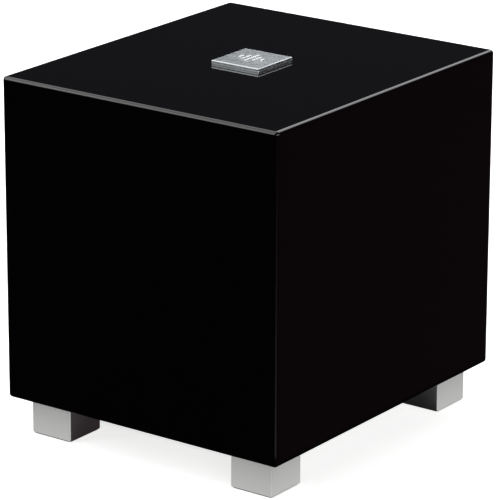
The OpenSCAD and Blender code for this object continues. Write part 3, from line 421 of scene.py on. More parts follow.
# Finishes with one grain all over: the grain's size in millimetres, alike all ways or along X, Y and Z,
# the range of roughness, the relief in millimetres, the colours that the grain mixes, and the rest.
GRAINED = {
    # Black polyester lacquer, sprayed thick and polished: mirror gloss with a trace of orange peel.
    "black_lacquer_polished": (6, (0.015, 0.03), 0.0008, ("cabinet.lacquer",), dict(detail=1.0)),
    # Medium-density fibreboard, sawn: fine fibres, a little fluffy.
    "fibreboard_sawn": ((0.6, 2.5, 0.9), (0.8, 0.95), 0.08, ("8A6844", "cabinet.fibreboard")),
    # Polyester fibre, carded into a loose pad: tangled pale strands.
    "polyester_wool_carded": ((0.5, 3, 0.8), (0.85, 1.0), 0.9, ("C9C7BF", "F0EFEA"),
                              dict(detail=6.0, Sheen_Weight=0.5)),
    # Extruded aluminium, brushed upright and clear anodised: satin with fine vertical lines.
    "aluminium_satin_anodised": ((0.25, 0.25, 60), (0.36, 0.5), 0.006, ("BDBEBF", "trim.feet"), METAL),
    # Aluminium plate, brushed from side to side and clear anodised.
    "aluminium_brushed_crosswise": ((45, 0.16, 45), (0.26, 0.42), 0.008,
                                    ("A9ADB0", "trim.badge"), METAL),
    # Aluminium bars, bead blasted and bright dipped: soft white sheen.
    "aluminium_blasted_bright": (0.3, (0.42, 0.55), 0.01, ("E2E4E6", "F4F5F6"), METAL),
    # Neoprene foot pad, moulded: matt with a fine grain.
    "rubber_moulded_matt": (0.4, (0.6, 0.8), 0.03, ("141414", "1E1E1E")),
    # Butyl rubber surround, pressed in a hot mould: dark satin with a faint bloom.
    "butyl_rubber_moulded": (2.5, (0.38, 0.52), 0.02, ("121213", "1B1B1D")),
    # Steel bolt, zinc plated and passivated: pale, slightly cloudy.
    "steel_zinc_plated": (2, (0.28, 0.45), 0.01, ("A9ADB2", "C6CACD"), METAL),
    # Brass insert, turned: fine rings along its length.
    "brass_turned": ((3, 3, 0.2), (0.25, 0.4), 0.01, ("A8843C", "C9A659"), METAL),
    # Screw steel, blackened in hot oxide and oiled.
    "steel_black_oxide": (0.8, (0.32, 0.5), 0.008, ("1C1C1E", "2B2B2E"), METAL),
    # Die-cast alloy basket under black powder coat: even, slightly pebbled.
    "alloy_cast_powder_coated": (0.7, (0.45, 0.6), 0.05, ("171718", "202022")),
    # Polyethylene foam gasket, skived from a block: tiny open-cut cells.
    "foam_closed_cell": (0.5, (0.85, 0.95), 0.12, ("141414", "262626")),
    # Paper pulp, pressed and given a damping coat: matted short fibres under a dull sheen.
    "pulp_pressed_coated": (1.4, (0.42, 0.62), 0.09, ("19191B", "driver.cone"), dict(detail=7.0)),
    # Glass-fibre coil former, rolled from impregnated film.
    "glass_fibre_rolled": ((1.5, 1.5, 0.3), (0.35, 0.5), 0.01, ("8F7B4C", "B39C66")),
    # Low-carbon steel pole parts, turned and zinc plated.
    "motor_steel_zinc_passivated": ((1.5, 1.5, 0.4), (0.3, 0.45), 0.02, ("9A9C9E", "B8BABC"), METAL),
    # Ferrite ring, pressed and sintered: charcoal grey with fine pits.
    "ferrite_sintered": (1.0, (0.55, 0.75), 0.08, ("222224", "34343A")),
    # Paper phenolic board, sawn: brown with a faint mottle.
    "paper_phenolic_sawn": (2, (0.35, 0.5), 0.01, ("5E3515", "7B4A20")),
    # Copper tinsel, braided and tinned: fine crossing strands.
    "copper_tinsel_braided": ((0.3, 0.3, 0.5), (0.3, 0.5), 0.15, ("9C6A3A", "CDA274"), METAL),
    # Aluminium panel, bead blasted and black anodised: even satin sparkle.
    "aluminium_black_anodised": (0.35, (0.4, 0.55), 0.02, ("131315", "rear.metal"),
                                 dict(Specular_IOR_Level=0.6)),
    # Aluminium angle as rolled: long faint streaks.
    "aluminium_mill_rolled": ((40, 0.5, 0.5), (0.3, 0.45), 0.01, ("A8AAAC", "C8CACB"), METAL),
    # Glass-epoxy circuit board under green solder resist.
    "epoxy_glass_solder_resist": (1, (0.25, 0.4), 0.02, ("0E3A22", "164D2E")),
    # Transformer winding under polyester tape.
    "polyester_tape_wound": ((8, 8, 0.8), (0.25, 0.4), 0.03, ("A8862E", "C9A548")),
    # Capacitor can in a heat-shrunk vinyl sleeve.
    "vinyl_sleeve_shrunk": (5, (0.2, 0.32), 0.02, ("15182E", "1D2140")),
    # Transfer-moulded epoxy of the output devices: matt black.
    "epoxy_moulded_matt": (0.5, (0.5, 0.7), 0.02, ("151515", "202020")),
    # Extruded red vinyl insulation.
    "vinyl_wire_extruded": (3, (0.35, 0.5), 0.01, ("7A0F0C", "96130F")),
    # ABS knob, moulded in a spark-eroded tool: satin black.
    "knob_plastic_moulded_satin": (0.3, (0.38, 0.52), 0.02, ("141415", "1D1D1F")),
    # White epoxy ink, screen printed: flat with a slightly uneven film.
    "ink_screen_printed": (0.4, (0.5, 0.7), 0.004, ("D2D2CE", "rear.ink")),
    # Steel shaft and bushing, nickel plated: bright and slightly warm.
    "steel_nickel_plated": (1.2, (0.18, 0.3), 0.004, ("B5B2A8", "CFCCC3"), METAL),
    # Glass-filled nylon of switches, sockets and inlet, moulded: matt with flow marks.
    "nylon_moulded_matt": ((0.5, 0.5, 1.2), (0.42, 0.6), 0.03, ("121213", "1B1B1C")),
    # Polycarbonate rocker, moulded in a polished tool: glossy black with faint sink.
    "rocker_plastic_moulded_gloss": (5, (0.08, 0.16), 0.01, ("0C0C0D", "111112")),
    # Diffusing acrylic lens, moulded, lit blue from behind.
    "lamp_lens_moulded_lit": (1, (0.15, 0.25), 0.01, ("2E5F9E", "4A86CC"),
                              dict(Emission_Color=linear("3F8CFF"), Emission_Strength=0.6)),
    # Brass socket shell, turned and flashed with gold.
    "brass_gold_flashed": ((2, 0.25, 2), (0.14, 0.26), 0.006, ("C79A3E", "E0B75C"), METAL),
    # White insulator of a line socket, moulded.
    "insulator_white_moulded": (0.6, (0.4, 0.55), 0.01, ("CFCFCB", "E4E4E0")),
    # Red insulator of a line socket, moulded.
    "insulator_red_moulded": (0.6, (0.4, 0.55), 0.01, ("8E1512", "A51C17")),
    # Black insulator of a line socket, moulded.
    "insulator_black_moulded": (0.6, (0.4, 0.55), 0.01, ("141414", "1E1E1E")),
    # Glass fuse tube, drawn, with plated caps: pale and glossy.
    "fuse_glass_capped": (3, (0.05, 0.12), 0.003, ("A8B2B4", "C6CFD0")),
}


def grained(tree, place, grain, roughness, depth, colours, detail=3.0, **constants):
    """Principled shader with one noise that varies roughness, relief and, between two tones, colour."""
    sizes = grain if isinstance(grain, tuple) else (grain,) * 3
    stretched = add(tree, "ShaderNodeMapping", {"Vector": place, "Scale": [cells(g) for g in sizes]})
    pattern = add(tree, "ShaderNodeTexNoise", {"Vector": stretched.outputs[0], "Scale": 1.0,
                                               "Detail": detail, "Roughness": 0.6}).outputs["Fac"]
    tones = [shade(tone) for tone in colours]
    inputs = {"Roughness": ranged(tree, pattern, (0.3, 0.7), roughness),
              "Normal": relief(tree, pattern, depth),
              "Base Color": mixed(tree, pattern, *tones) if len(tones) > 1 else tones[0]}
    inputs.update({name.replace("_", " "): value for name, value in constants.items()})
    return add(tree, "ShaderNodeBsdfPrincipled", inputs)


def cotton_woven_resin_dipped(tree, place):
    """Cotton cloth, woven, dipped in resin and pressed hot: amber threads at right angles."""
    weave = [add(tree, "ShaderNodeTexWave", {"Vector": place, "Scale": cells(3.5), "Distortion": 0.4},
                 bands_direction=direction).outputs["Fac"] for direction in ("X", "Y")]
    cloth = add(tree, "ShaderNodeMath", {0: weave[0], 1: weave[1]}, operation="MULTIPLY").outputs[0]
    return add(tree, "ShaderNodeBsdfPrincipled",
               {"Base Color": mixed(tree, cloth, linear("6E5428"), linear("B8934F")),
                "Normal": relief(tree, cloth, 0.1), "Roughness": 0.7})


def copper_enamelled_wound(tree, place):
    """Enamelled copper wire, wound side by side: one ridge to each turn."""
    turns = add(tree, "ShaderNodeTexWave", {"Vector": place, "Scale": cells(6), "Distortion": 0.2},
                bands_direction="Z").outputs["Fac"]
    return add(tree, "ShaderNodeBsdfPrincipled", {"Base Color": linear("A5522A"), "Metallic": 1.0,
                                                  "Normal": relief(tree, turns, 0.12), "Roughness": 0.28})


def card_white_backlit(tree, place):
    """White card on the floor that only the feet mirror: even glow with a paper grain."""
    grain = add(tree, "ShaderNodeTexNoise", {"Vector": place, "Scale": cells(30), "Detail": 2.0})
    glow = ranged(tree, grain.outputs["Fac"], (0, 1), (1.0, 1.1))
    return add(tree, "ShaderNodeEmission", {"Color": shade("stage.floor"), "Strength": glow})


def card_grey_backlit(tree, place):
    """Grey card that only mirrors see, fading with distance."""
    away = add(tree, "ShaderNodeVectorMath", {0: place}, operation="LENGTH").outputs["Value"]
    glow = ranged(tree, away, (0.25, 0.9), (0.4, 0.08))
    return add(tree, "ShaderNodeEmission", {"Color": shade("stage.floor"), "Strength": glow})


def floor_matt_painted(tree, place):
    """Studio floor, painted matt white; mirrored in nothing and open from below."""
    grain = add(tree, "ShaderNodeTexNoise", {"Vector": place, "Scale": cells(40), "Detail": 2.0})
    tint = mixed(tree, grain.outputs["Fac"], linear("F2F2F1"), shade("stage.floor"))
    top = add(tree, "ShaderNodeBsdfPrincipled",
              {"Base Color": tint, "Roughness": 0.9, "Emission Color": shade("stage.floor"),
               "Emission Strength": 0.84})
    side = add(tree, "ShaderNodeNewGeometry")
    clear = add(tree, "ShaderNodeBsdfTransparent")
    return add(tree, "ShaderNodeMixShader", {0: side.outputs["Backfacing"], 1: top.outputs[0],
                                             2: clear.outputs[0]})


PATTERNED = {recipe.__name__: recipe for recipe in (
    cotton_woven_resin_dipped, copper_enamelled_wound, card_white_backlit, card_grey_backlit,
    floor_matt_painted)}


def finish(name):
    """Material of that name, made the first time it is asked for."""
    if name not in bpy.data.materials:
        made = bpy.data.materials.new(name)
        made.use_nodes = True
        tree = made.node_tree
        tree.nodes.clear()
        place = add(tree, "ShaderNodeTexCoord").outputs["Object"]
        if name in PATTERNED:
            shader = PATTERNED[name](tree, place)
        else:
            grain, roughness, depth, colours, *rest = GRAINED[name]
            shader = grained(tree, place, grain, roughness, depth, colours, **(rest[0] if rest else {}))
        add(tree, "ShaderNodeOutputMaterial", {"Surface": shader.outputs[0]})
    return bpy.data.materials[name]


# ---- Repeated pieces ----


def repeat_group():
    """Geometry Nodes group that puts one piece at every point, its X axis turned to the point's aim."""
    name = "Repeat at points"
    if name in bpy.data.node_groups:
        return bpy.data.node_groups[name]
    tree = bpy.data.node_groups.new(name, "GeometryNodeTree")
    for label, way, kind in (("Points", "INPUT", "Geometry"), ("Piece", "INPUT", "Object"),
                             ("Finish", "INPUT", "Material"), ("Pieces", "OUTPUT", "Geometry")):
        tree.interface.new_socket(label, in_out=way, socket_type="NodeSocket" + kind)
    given = add(tree, "NodeGroupInput")
    aim = add(tree, "GeometryNodeInputNamedAttribute", {"Name": "aim"}, data_type="FLOAT_VECTOR")
    turn = add(tree, "FunctionNodeAlignRotationToVector", {"Vector": aim.outputs[0]}, axis="X")
    piece = add(tree, "GeometryNodeObjectInfo", {"Object": given.outputs["Piece"]})
    placed = add(tree, "GeometryNodeInstanceOnPoints",
                 {"Points": given.outputs["Points"], "Instance": piece.outputs["Geometry"],
                  "Rotation": turn.outputs[0]})
    real = add(tree, "GeometryNodeRealizeInstances", {"Geometry": placed.outputs[0]})
    done = add(tree, "GeometryNodeSetMaterial", {"Geometry": real.outputs[0],
                                                 "Material": given.outputs["Finish"]})
    add(tree, "NodeGroupOutput", {"Pieces": done.outputs[0]})
    return tree


def repeated(name, piece, points, aims, skin):
    """Object with a copy of a piece at each point, baked to plain mesh."""
    mesh = bpy.data.meshes.new(name)
    mesh.from_pydata(points, [], [])
    aim = mesh.attributes.new("aim", "FLOAT_VECTOR", "POINT")
    for spot, direction in zip(aim.data, aims):
        spot.vector = direction
    obj = linked(name, mesh)
    tree = repeat_group()
    nodes = obj.modifiers.new("repeat", "NODES")
    nodes.node_group = tree
    values = {"Piece": piece, "Finish": finish(skin)}
    for socket in tree.interface.items_tree:
        if socket.item_type == "SOCKET" and socket.name in values:
            nodes[socket.identifier] = values[socket.name]
    bake(obj)
    bpy.data.objects.remove(piece)
    return obj


def in_metres(outline):
    """Outline of (radius, height) given in millimetres."""
    return [(r * MM, z * MM) for r, z in outline]


def screw_piece(skin):
    """Pan-head screw with a hexagon socket, its axis along X and its head seated at the origin."""
    shank, depth = 1.85, -SCREW_LENGTH
    outline = [(0, 2), (2.6, 2), (3.3, 1.6), (3.6, 0.9), (3.6, 0), (shank, 0), (shank, depth), (0, depth)]
    screw = new_object("screw", revolve(in_metres(outline), 32, Vector((0, 0, 0))), skin)
    socket = new_object("socket", loft([[Vector((x, y, z * MM)) for x, y in circle_points(6, 1.25 * MM)]
                                        for z in (0.7, 3.0)]))
    cut(screw, socket)
    screw.data.transform(Matrix.Rotation(math.pi / 2, 4, "Y"))
    return screw


# ---- Pieces ----


class SUBWOOFER_OT_cabinet(bpy.types.Operator):
    """Make the lacquered cabinet as one shell in place of its six boards"""
    bl_idname = "subwoofer.cabinet"
    bl_label = "Cabinet"

    def execute(self, context):
        settings = look("cabinet")
        radius, inset = settings.edge_radius, Vector((settings.wall,) * 3)
        low, high = CABINET_LOW, CABINET_HIGH
        bm = block(low, high)
        bmesh.ops.bevel(bm, geom=bm.edges[:] + bm.verts[:], offset=radius, segments=8, profile=0.5,
                        affect="EDGES")
        for vert in bm.verts:
            inner = clamped(vert.co, low, high, radius)
            vert.co = inner + (vert.co - inner).normalized() * radius
        shell = new_object("cabinet_shell", bm, "black_lacquer_polished", "fibreboard_sawn")

        def panel_cutter(name, size, steps):
            """Cutter through loops of a given offset out of the panel and growth all round."""
            return new_object(name, loft([
                [on_panel(x, y, out) for x, y in rounded_rectangle(size[0] + 2 * grow, size[1] + 2 * grow,
                                                                   PANEL_CORNER + grow)]
                for out, grow in steps]))

        edge = settings.mouth_chamfer / MM
        clear = 2  # how far a cutter reaches beyond the face it cuts
        seat, hole = DRIVER_SEAT_RADIUS, DRIVER_HOLE_RADIUS
        mouth = [(0, -clear), (seat + edge + clear, -clear), (seat + edge, 0), (seat, edge),
                 (seat, DRIVER_SEAT_DEPTH), (0, DRIVER_SEAT_DEPTH)]
        bore = [(0, 3), (hole, 3), (hole, 20), (0, 20)]  # from inside the seat to inside the box
        cut(shell, new_object("inside", block(low + inset, high - inset)),
            panel_cutter("panel_seat", PANEL_SEAT, ((-PANEL_SEAT_DEPTH, 0), (-edge, 0), (0, edge),
                                                    (clear, edge + clear))),
            panel_cutter("panel_hole", PANEL_HOLE, ((-25, 0), (-3, 0))),
            new_object("driver_seat", revolve(in_metres(mouth), 180)),
            new_object("driver_hole", revolve(in_metres(bore), 180)))
        lacquered = Vector((5.5 * MM,) * 3)  # the lacquer reaches this far into the openings
        raw_low, raw_high = low + lacquered, high - lacquered
        recolour(shell, lambda c: int(all(a < p < b for a, p, b in zip(raw_low, c, raw_high))))
        normals = []
        for face in shell.data.polygons:
            for index in face.loop_indices:
                point = shell.data.vertices[shell.data.loops[index].vertex_index].co
                normal = (point - clamped(point, low, high, radius)) / radius
                outer = abs(normal.length - 1) < 0.01 and normal.dot(face.normal) > 0.8
                normals.append(normal if outer else (0, 0, 0))
        shell.data.normals_split_custom_set(normals)
        settle(shell, "enclosure", "piano_lacquer", "cabinet_top", "cabinet_front", "cabinet_left",
               "cabinet_right", "cabinet_back", "cabinet_bottom")
        return {"FINISHED"}


class SUBWOOFER_OT_inside(bpy.types.Operator):
    """Finish the brace's board and make the wadding"""
    bl_idname = "subwoofer.inside"
    bl_label = "Brace and wadding"

    def execute(self, context):
        paint("brace", "fibreboard_sawn")
        corner, tuft, most = 18 * MM, 2.6 * MM, 3.5 * MM
        low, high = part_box("wadding")
        margin = Vector((4 * MM,) * 3)
        low, high = low + margin, high - margin
        bm = block(low, high, cuts=47)
        for vert in bm.verts:
            inner = clamped(vert.co, low, high, corner)
            side = (vert.co - inner).normalized()
            tufts = noise.fractal(vert.co * cells(14), 0.8, 2.2, 4) * tuft
            vert.co = inner + side * (corner + max(-most, min(most, tufts)))
        pad = new_object("wadding_fleece", bm, "polyester_wool_carded", sharp=180)
        settle(pad, "enclosure", "polyester_wool", "wadding")
        return {"FINISHED"}


class SUBWOOFER_OT_trim(bpy.types.Operator):
    """Finish the feet, their bolts and the badge on top"""
    bl_idname = "subwoofer.trim"
    bl_label = "Feet and badge"

    def slide(self, obj, below, shift, above=-1.0):
        """Moves the part of a piece between two heights up or down."""
        for vert in obj.data.vertices:
            if above < vert.co.z < below:
                vert.co.z += shift

    def execute(self, context):
        settings = look("trim")
        radius = settings.edge_radius
        rim, sole = 3 * MM, 1 * MM  # the foot's rim and the pad's top lie below the one, above the other
        for corner in ("front_left", "front_right", "back_left", "back_right"):
            foot = softened("foot_" + corner, radius, "aluminium_satin_anodised")
            self.slide(foot, rim, -settings.pad_hidden)
        pads = softened("foot_pads", radius / 2, "rubber_moulded_matt")
        self.slide(pads, rim, -settings.pad_hidden, sole)
        softened("foot_bolts", radius, "steel_zinc_plated")
        paint("foot_inserts", "brass_turned")
        low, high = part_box("badge_plate")
        centre, top = (low + high) / 2, CABINET_HIGH.z
        across = settings.badge_width / (high.x - low.x)
        tall = settings.badge_height / (high.z - top)
        for node, metal in (("badge_base", "aluminium_brushed_crosswise"),
                            ("badge_plate", "aluminium_brushed_crosswise"),
                            ("badge_emblem", "aluminium_blasted_bright")):
            for vert in softened(node, radius / 4, metal).data.vertices:
                x, y = centre.xy + (vert.co.xy - centre.xy) * across
                vert.co = (x, y, top + (vert.co.z - top) * tall if vert.co.z > top else vert.co.z)
        return {"FINISHED"}


def cone_height(radius):
    """Height of the cone's lower face above the driver's rim, in metres, at a radius."""
    inward = max(0.0, 1 - (radius / MM - FORMER_RADIUS) / (CONE_RADIUS - FORMER_RADIUS))
    return CONE_RISE * MM + look("driver").cone_depth * inward ** 1.25


class SUBWOOFER_OT_driver(bpy.types.Operator):
    """Make the driver's cone and dust cap and finish its basket and motor"""
    bl_idname = "subwoofer.driver"
    bl_label = "Driver"

    def execute(self, context):
        settings = look("driver")
        half, steps = settings.cone_paper / 2, 24
        reach = CONE_RADIUS - NECK_RADIUS
        radii = [(NECK_RADIUS + reach * i / steps) * MM for i in range(steps + 1)]
        path = [(r, cone_height(r) + half) for r in radii]
        path.append((CONE_LIP * MM, path[-1][1]))
        cone = new_object("cone_pressed", revolve(thicken(path, 2 * half), settings.segments),
                          "pulp_pressed_coated")
        settle(cone, "moving_cone", "cone_paper", "cone")
        rim, rise = DUST_CAP_RADIUS * MM, DUST_CAP_RISE * MM
        dome = (rim * rim + rise * rise) / (2 * rise)
        top = cone_height(rim) - rise + dome
        arc = [(dome - half) * math.sin(math.asin(rim / dome) * i / steps) for i in range(steps + 1)]
        outline = thicken([(r, top - math.sqrt((dome - half) ** 2 - r * r)) for r in arc], 2 * half)
        outline[0], outline[-1] = (0.0, outline[0][1]), (0.0, outline[-1][1])
        cap = new_object("dust_cap_pressed", revolve(outline, settings.segments), "pulp_pressed_coated")
        settle(cap, "moving_cone", "cone_paper", "dust_cap")
        softened("driver_basket", 0.3 * MM, "alloy_cast_powder_coated")
        for node, coat in (("driver_gasket", "foam_closed_cell"), ("coil_former", "glass_fibre_rolled"),
                           ("coil_winding", "copper_enamelled_wound"),
                           ("top_plate", "motor_steel_zinc_passivated"), ("magnet", "ferrite_sintered"),
                           ("yoke", "motor_steel_zinc_passivated"),
                           ("terminal_strip", "paper_phenolic_sawn"),
                           ("speaker_leads", "vinyl_wire_extruded")):
            paint(node, coat)
        return {"FINISHED"}


def smooth_route(route, steps):
    """Points along the smooth curve through a route."""
    points = []
    for i in range(len(route) - 1):
        a, b, c, d = (route[min(max(i + k, 0), len(route) - 1)] for k in (-1, 0, 1, 2))
        for t in (s / steps for s in range(steps)):
            points.append((2 * b + (c - a) * t + (2 * a - 5 * b + 4 * c - d) * t * t
                           + (3 * b - a - 3 * c + d) * t ** 3) / 2)
    return points + [route[-1]]


def tube(route, radius):
    """Round closed tube along a route."""
    loops = []
    for i, point in enumerate(route):
        along = (route[min(i + 1, len(route) - 1)] - route[max(i - 1, 0)]).normalized()
        across = along.cross(Vector((0.2, 0.1, 1))).normalized()
        up = across.cross(along)
        loops.append([point + across * x + up * y for x, y in circle_points(12, radius)])
    return loft(loops)


class SUBWOOFER_OT_suspension(bpy.types.Operator):
    """Make the surround, the spider and the tinsel leads"""
    bl_idname = "subwoofer.suspension"
    bl_label = "Suspension"

    def bend(self, obj, slot, node, start, end):
        """Bakes a piece's place into its mesh and hides the CAD node it stands for; start and end are not
        used.
        """
        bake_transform(obj)
        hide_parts(node)

    def surround(self, settings):
        """The half roll as two rings."""
        level, steps = SURROUND_LEVEL * MM, 14
        curve = settings.roll_radius - settings.rubber / 2
        arc = [(curve * math.sin(math.pi / 2 * i / steps), -curve * math.cos(math.pi / 2 * i / steps))
               for i in range(steps + 1)]
        near = DRIVER_AXIS + Vector((0, 0, level))
        far = near - Vector((0, 0, curve * 2))
        for name, side, start, end in (("outer", 1, near, far), ("inner", -1, far, near)):
            path = [(ROLL_MIDDLE * MM + side * r, level + z) for r, z in arc]
            path.append((ROLL_LIPS[name] * MM, level))
            ring = new_object("surround_" + name,
                              revolve(thicken(path, settings.rubber), settings.segments),
                              "butyl_rubber_moulded")
            self.bend(ring, "surround_rubber", "surround", start, end)

    def spider(self, settings):
        """The pleated cloth as one ring to each half wave."""
        halves, steps = 2 * SPIDER_WAVES, 8
        crest, swing = SPIDER_TOP * MM, SPIDER_SWING * MM
        inner, outer = NECK_RADIUS * MM, SPIDER_RADIUS * MM
        for k in range(halves):
            turns = [(k + i / steps) / halves for i in range(steps + 1)]
            path = [(outer + (inner - outer) * t, crest - swing + swing * math.cos(math.pi * halves * t))
                    for t in turns]
            drop = path[-1][1] - path[0][1]
            if k == 0:
                path.insert(0, (SPIDER_FLANGE * MM, crest))
            ring = new_object("spider_%d" % k,
                              revolve(thicken(path, SPIDER_CLOTH * MM), settings.segments),
                              "cotton_woven_resin_dipped")
            begin = path[-1][1] - drop * (k + 1)
            self.bend(ring, "spider_cloth", "spider", DRIVER_AXIS + Vector((0, 0, begin)),
                      DRIVER_AXIS + Vector((0, 0, begin + drop * halves)))

    def execute(self, context):
        settings = look("driver")
        self.surround(settings)
        self.spider(settings)
        for side in (-1, 1):
            route = [DRIVER_AXIS + Vector((side * x, y, z)) * MM for x, y, z in LEAD_ROUTE]
            lead = new_object("tinsel_lead_%d" % side, tube(smooth_route(route, 8), LEAD_RADIUS * MM),
                              "copper_tinsel_braided")
            self.bend(lead, "tinsel_braid", "tinsel_leads", route[2], route[-2])
        return {"FINISHED"}


class SUBWOOFER_OT_screws(bpy.types.Operator):
    """Put a screw at every hole of the driver's rim and of the panel"""
    bl_idname = "subwoofer.screws"
    bl_label = "Screws"

    def execute(self, context):
        count, black = RIM_SCREWS, "steel_black_oxide"
        rim = [DRIVER_AXIS + Matrix.Rotation(math.pi * (2 * k + 1) / count, 3, "Z")
               @ Vector((RIM_SCREW_RING * MM, 0, 0)) for k in range(count)]
        edge = [on_panel(x, y, 0) for x, y in PANEL_SCREWS]
        for name, node, spots, aim in (("driver_screw_row", "driver_screws", rim, (0, 0, -1)),
                                       ("panel_screw_row", "amp_screws", edge, (0, 1, 0))):
            row = repeated(name, screw_piece(black), spots, [aim] * len(spots), black)
            settle(row, "enclosure", "black_steel", node)
        return {"FINISHED"}


class SUBWOOFER_OT_panel(bpy.types.Operator):
    """Finish the panel, its knobs, switches and sockets and print the marks round the knobs"""
    bl_idname = "subwoofer.panel"
    bl_label = "Panel"

    def execute(self, context):
        settings = look("rear")
        radius, nylon, nickel = settings.edge_radius, "nylon_moulded_matt", "steel_nickel_plated"
        softened("amp_panel", radius, "aluminium_black_anodised")
        paint("amp_gasket", "foam_closed_cell")
        for node, skin in (("phase_switch", nylon), ("phase_lever", "knob_plastic_moulded_satin"),
                           ("power_switch", nylon), ("power_rocker", "rocker_plastic_moulded_gloss"),
                           ("high_level_socket", nylon), ("mains_inlet", nylon), ("fuse_drawer", nylon),
                           ("control_bodies", nickel), ("line_socket_shells", "brass_gold_flashed")):
            softened(node, radius * 0.7, skin)
        for node, skin in (("status_lamp", "lamp_lens_moulded_lit"), ("mains_pins", nickel),
                           ("fuse", "fuse_glass_capped"), ("level_shaft", nickel), ("lfe_shaft", nickel),
                           ("crossover_shaft", nickel)):
            paint(node, skin)
        paint("line_socket_inserts", "insulator_white_moulded", "insulator_red_moulded",
              "insulator_black_moulded")
        white_from, red_from = -6 * MM, -26 * MM
        recolour(frame["nodes"]["line_socket_inserts"],
                 lambda c: 0 if c.x > white_from else 1 if c.x > red_from else 2)
        marks, aims = [], []
        for name, (right, up) in KNOBS.items():
            softened(name + "_knob", radius * 0.6, "knob_plastic_moulded_satin")
            bar = rounded_rectangle(*POINTER_BAR, 3)
            pointer = new_object(name + "_pointer", loft([
                [on_panel(right + x, up + POINTER_UP + y, out) for x, y in bar] for out in POINTER_OUT]),
                "ink_screen_printed")
            settle(pointer, name + "_control", "knob_plastic")
            for k in range(settings.marks):
                turn = KNOB_SWEEP * (k / (settings.marks - 1) - 0.5)
                out = PANEL_AXES @ Vector((math.sin(turn), math.cos(turn), 0))
                marks.append(on_panel(right, up, 0) + out * settings.mark_ring)
                aims.append(out)
        mark = new_object("mark", loft([
            [Vector((x, y, z)) * MM for x, z in rounded_rectangle(*MARK_BAR, 2)] for y in MARK_FILM]))
        settle(repeated("knob_marks", mark, marks, aims, "ink_screen_printed"), "enclosure",
               "panel_anodised")
        return {"FINISHED"}


class SUBWOOFER_OT_amplifier(bpy.types.Operator):
    """Finish the amplifier's parts inside the cabinet"""
    bl_idname = "subwoofer.amplifier"
    bl_label = "Amplifier"

    def execute(self, context):
        for node, skin in (("heat_bracket", "aluminium_mill_rolled"),
                           ("circuit_board", "epoxy_glass_solder_resist"),
                           ("transformer", "polyester_tape_wound"), ("capacitors", "vinyl_sleeve_shrunk"),
                           ("output_devices", "epoxy_moulded_matt")):
            paint(node, skin)
        return {"FINISHED"}


# Soft boxes, all facing LIT_POINT: place and size in metres, radiance and tint.
LIT_POINT = Vector((0, 0, 0.12))
LIGHTS = {
    "overhead": ((-0.9, -0.1, 2.1), (3, 2.3), 1.9, (1, 1, 1)),
    "behind": ((-0.4, 2.3, 1.95), (2.6, 1.2), 2.6, (0.97, 0.99, 1)),
    "back_right": ((2.8, 1.8, 0.9), (0.9, 0.9), 4.0, (1, 1, 1)),
    "front_right": ((2.2, -1.8, 0.6), (1.2, 0.8), 7.0, (0.97, 0.98, 1)),
    "front_left": ((-1.9, -2.2, 1.5), (1.8, 1.6), 3.0, (1, 1, 1)),
    "right": ((2.9, -0.4, 1.3), (1.6, 1.6), 3.0, (0.97, 0.98, 1)),
}
FLOOR_HALF = 12.0
CARD_HEIGHT, STRIP_HEIGHT = 0.0004, 0.0005


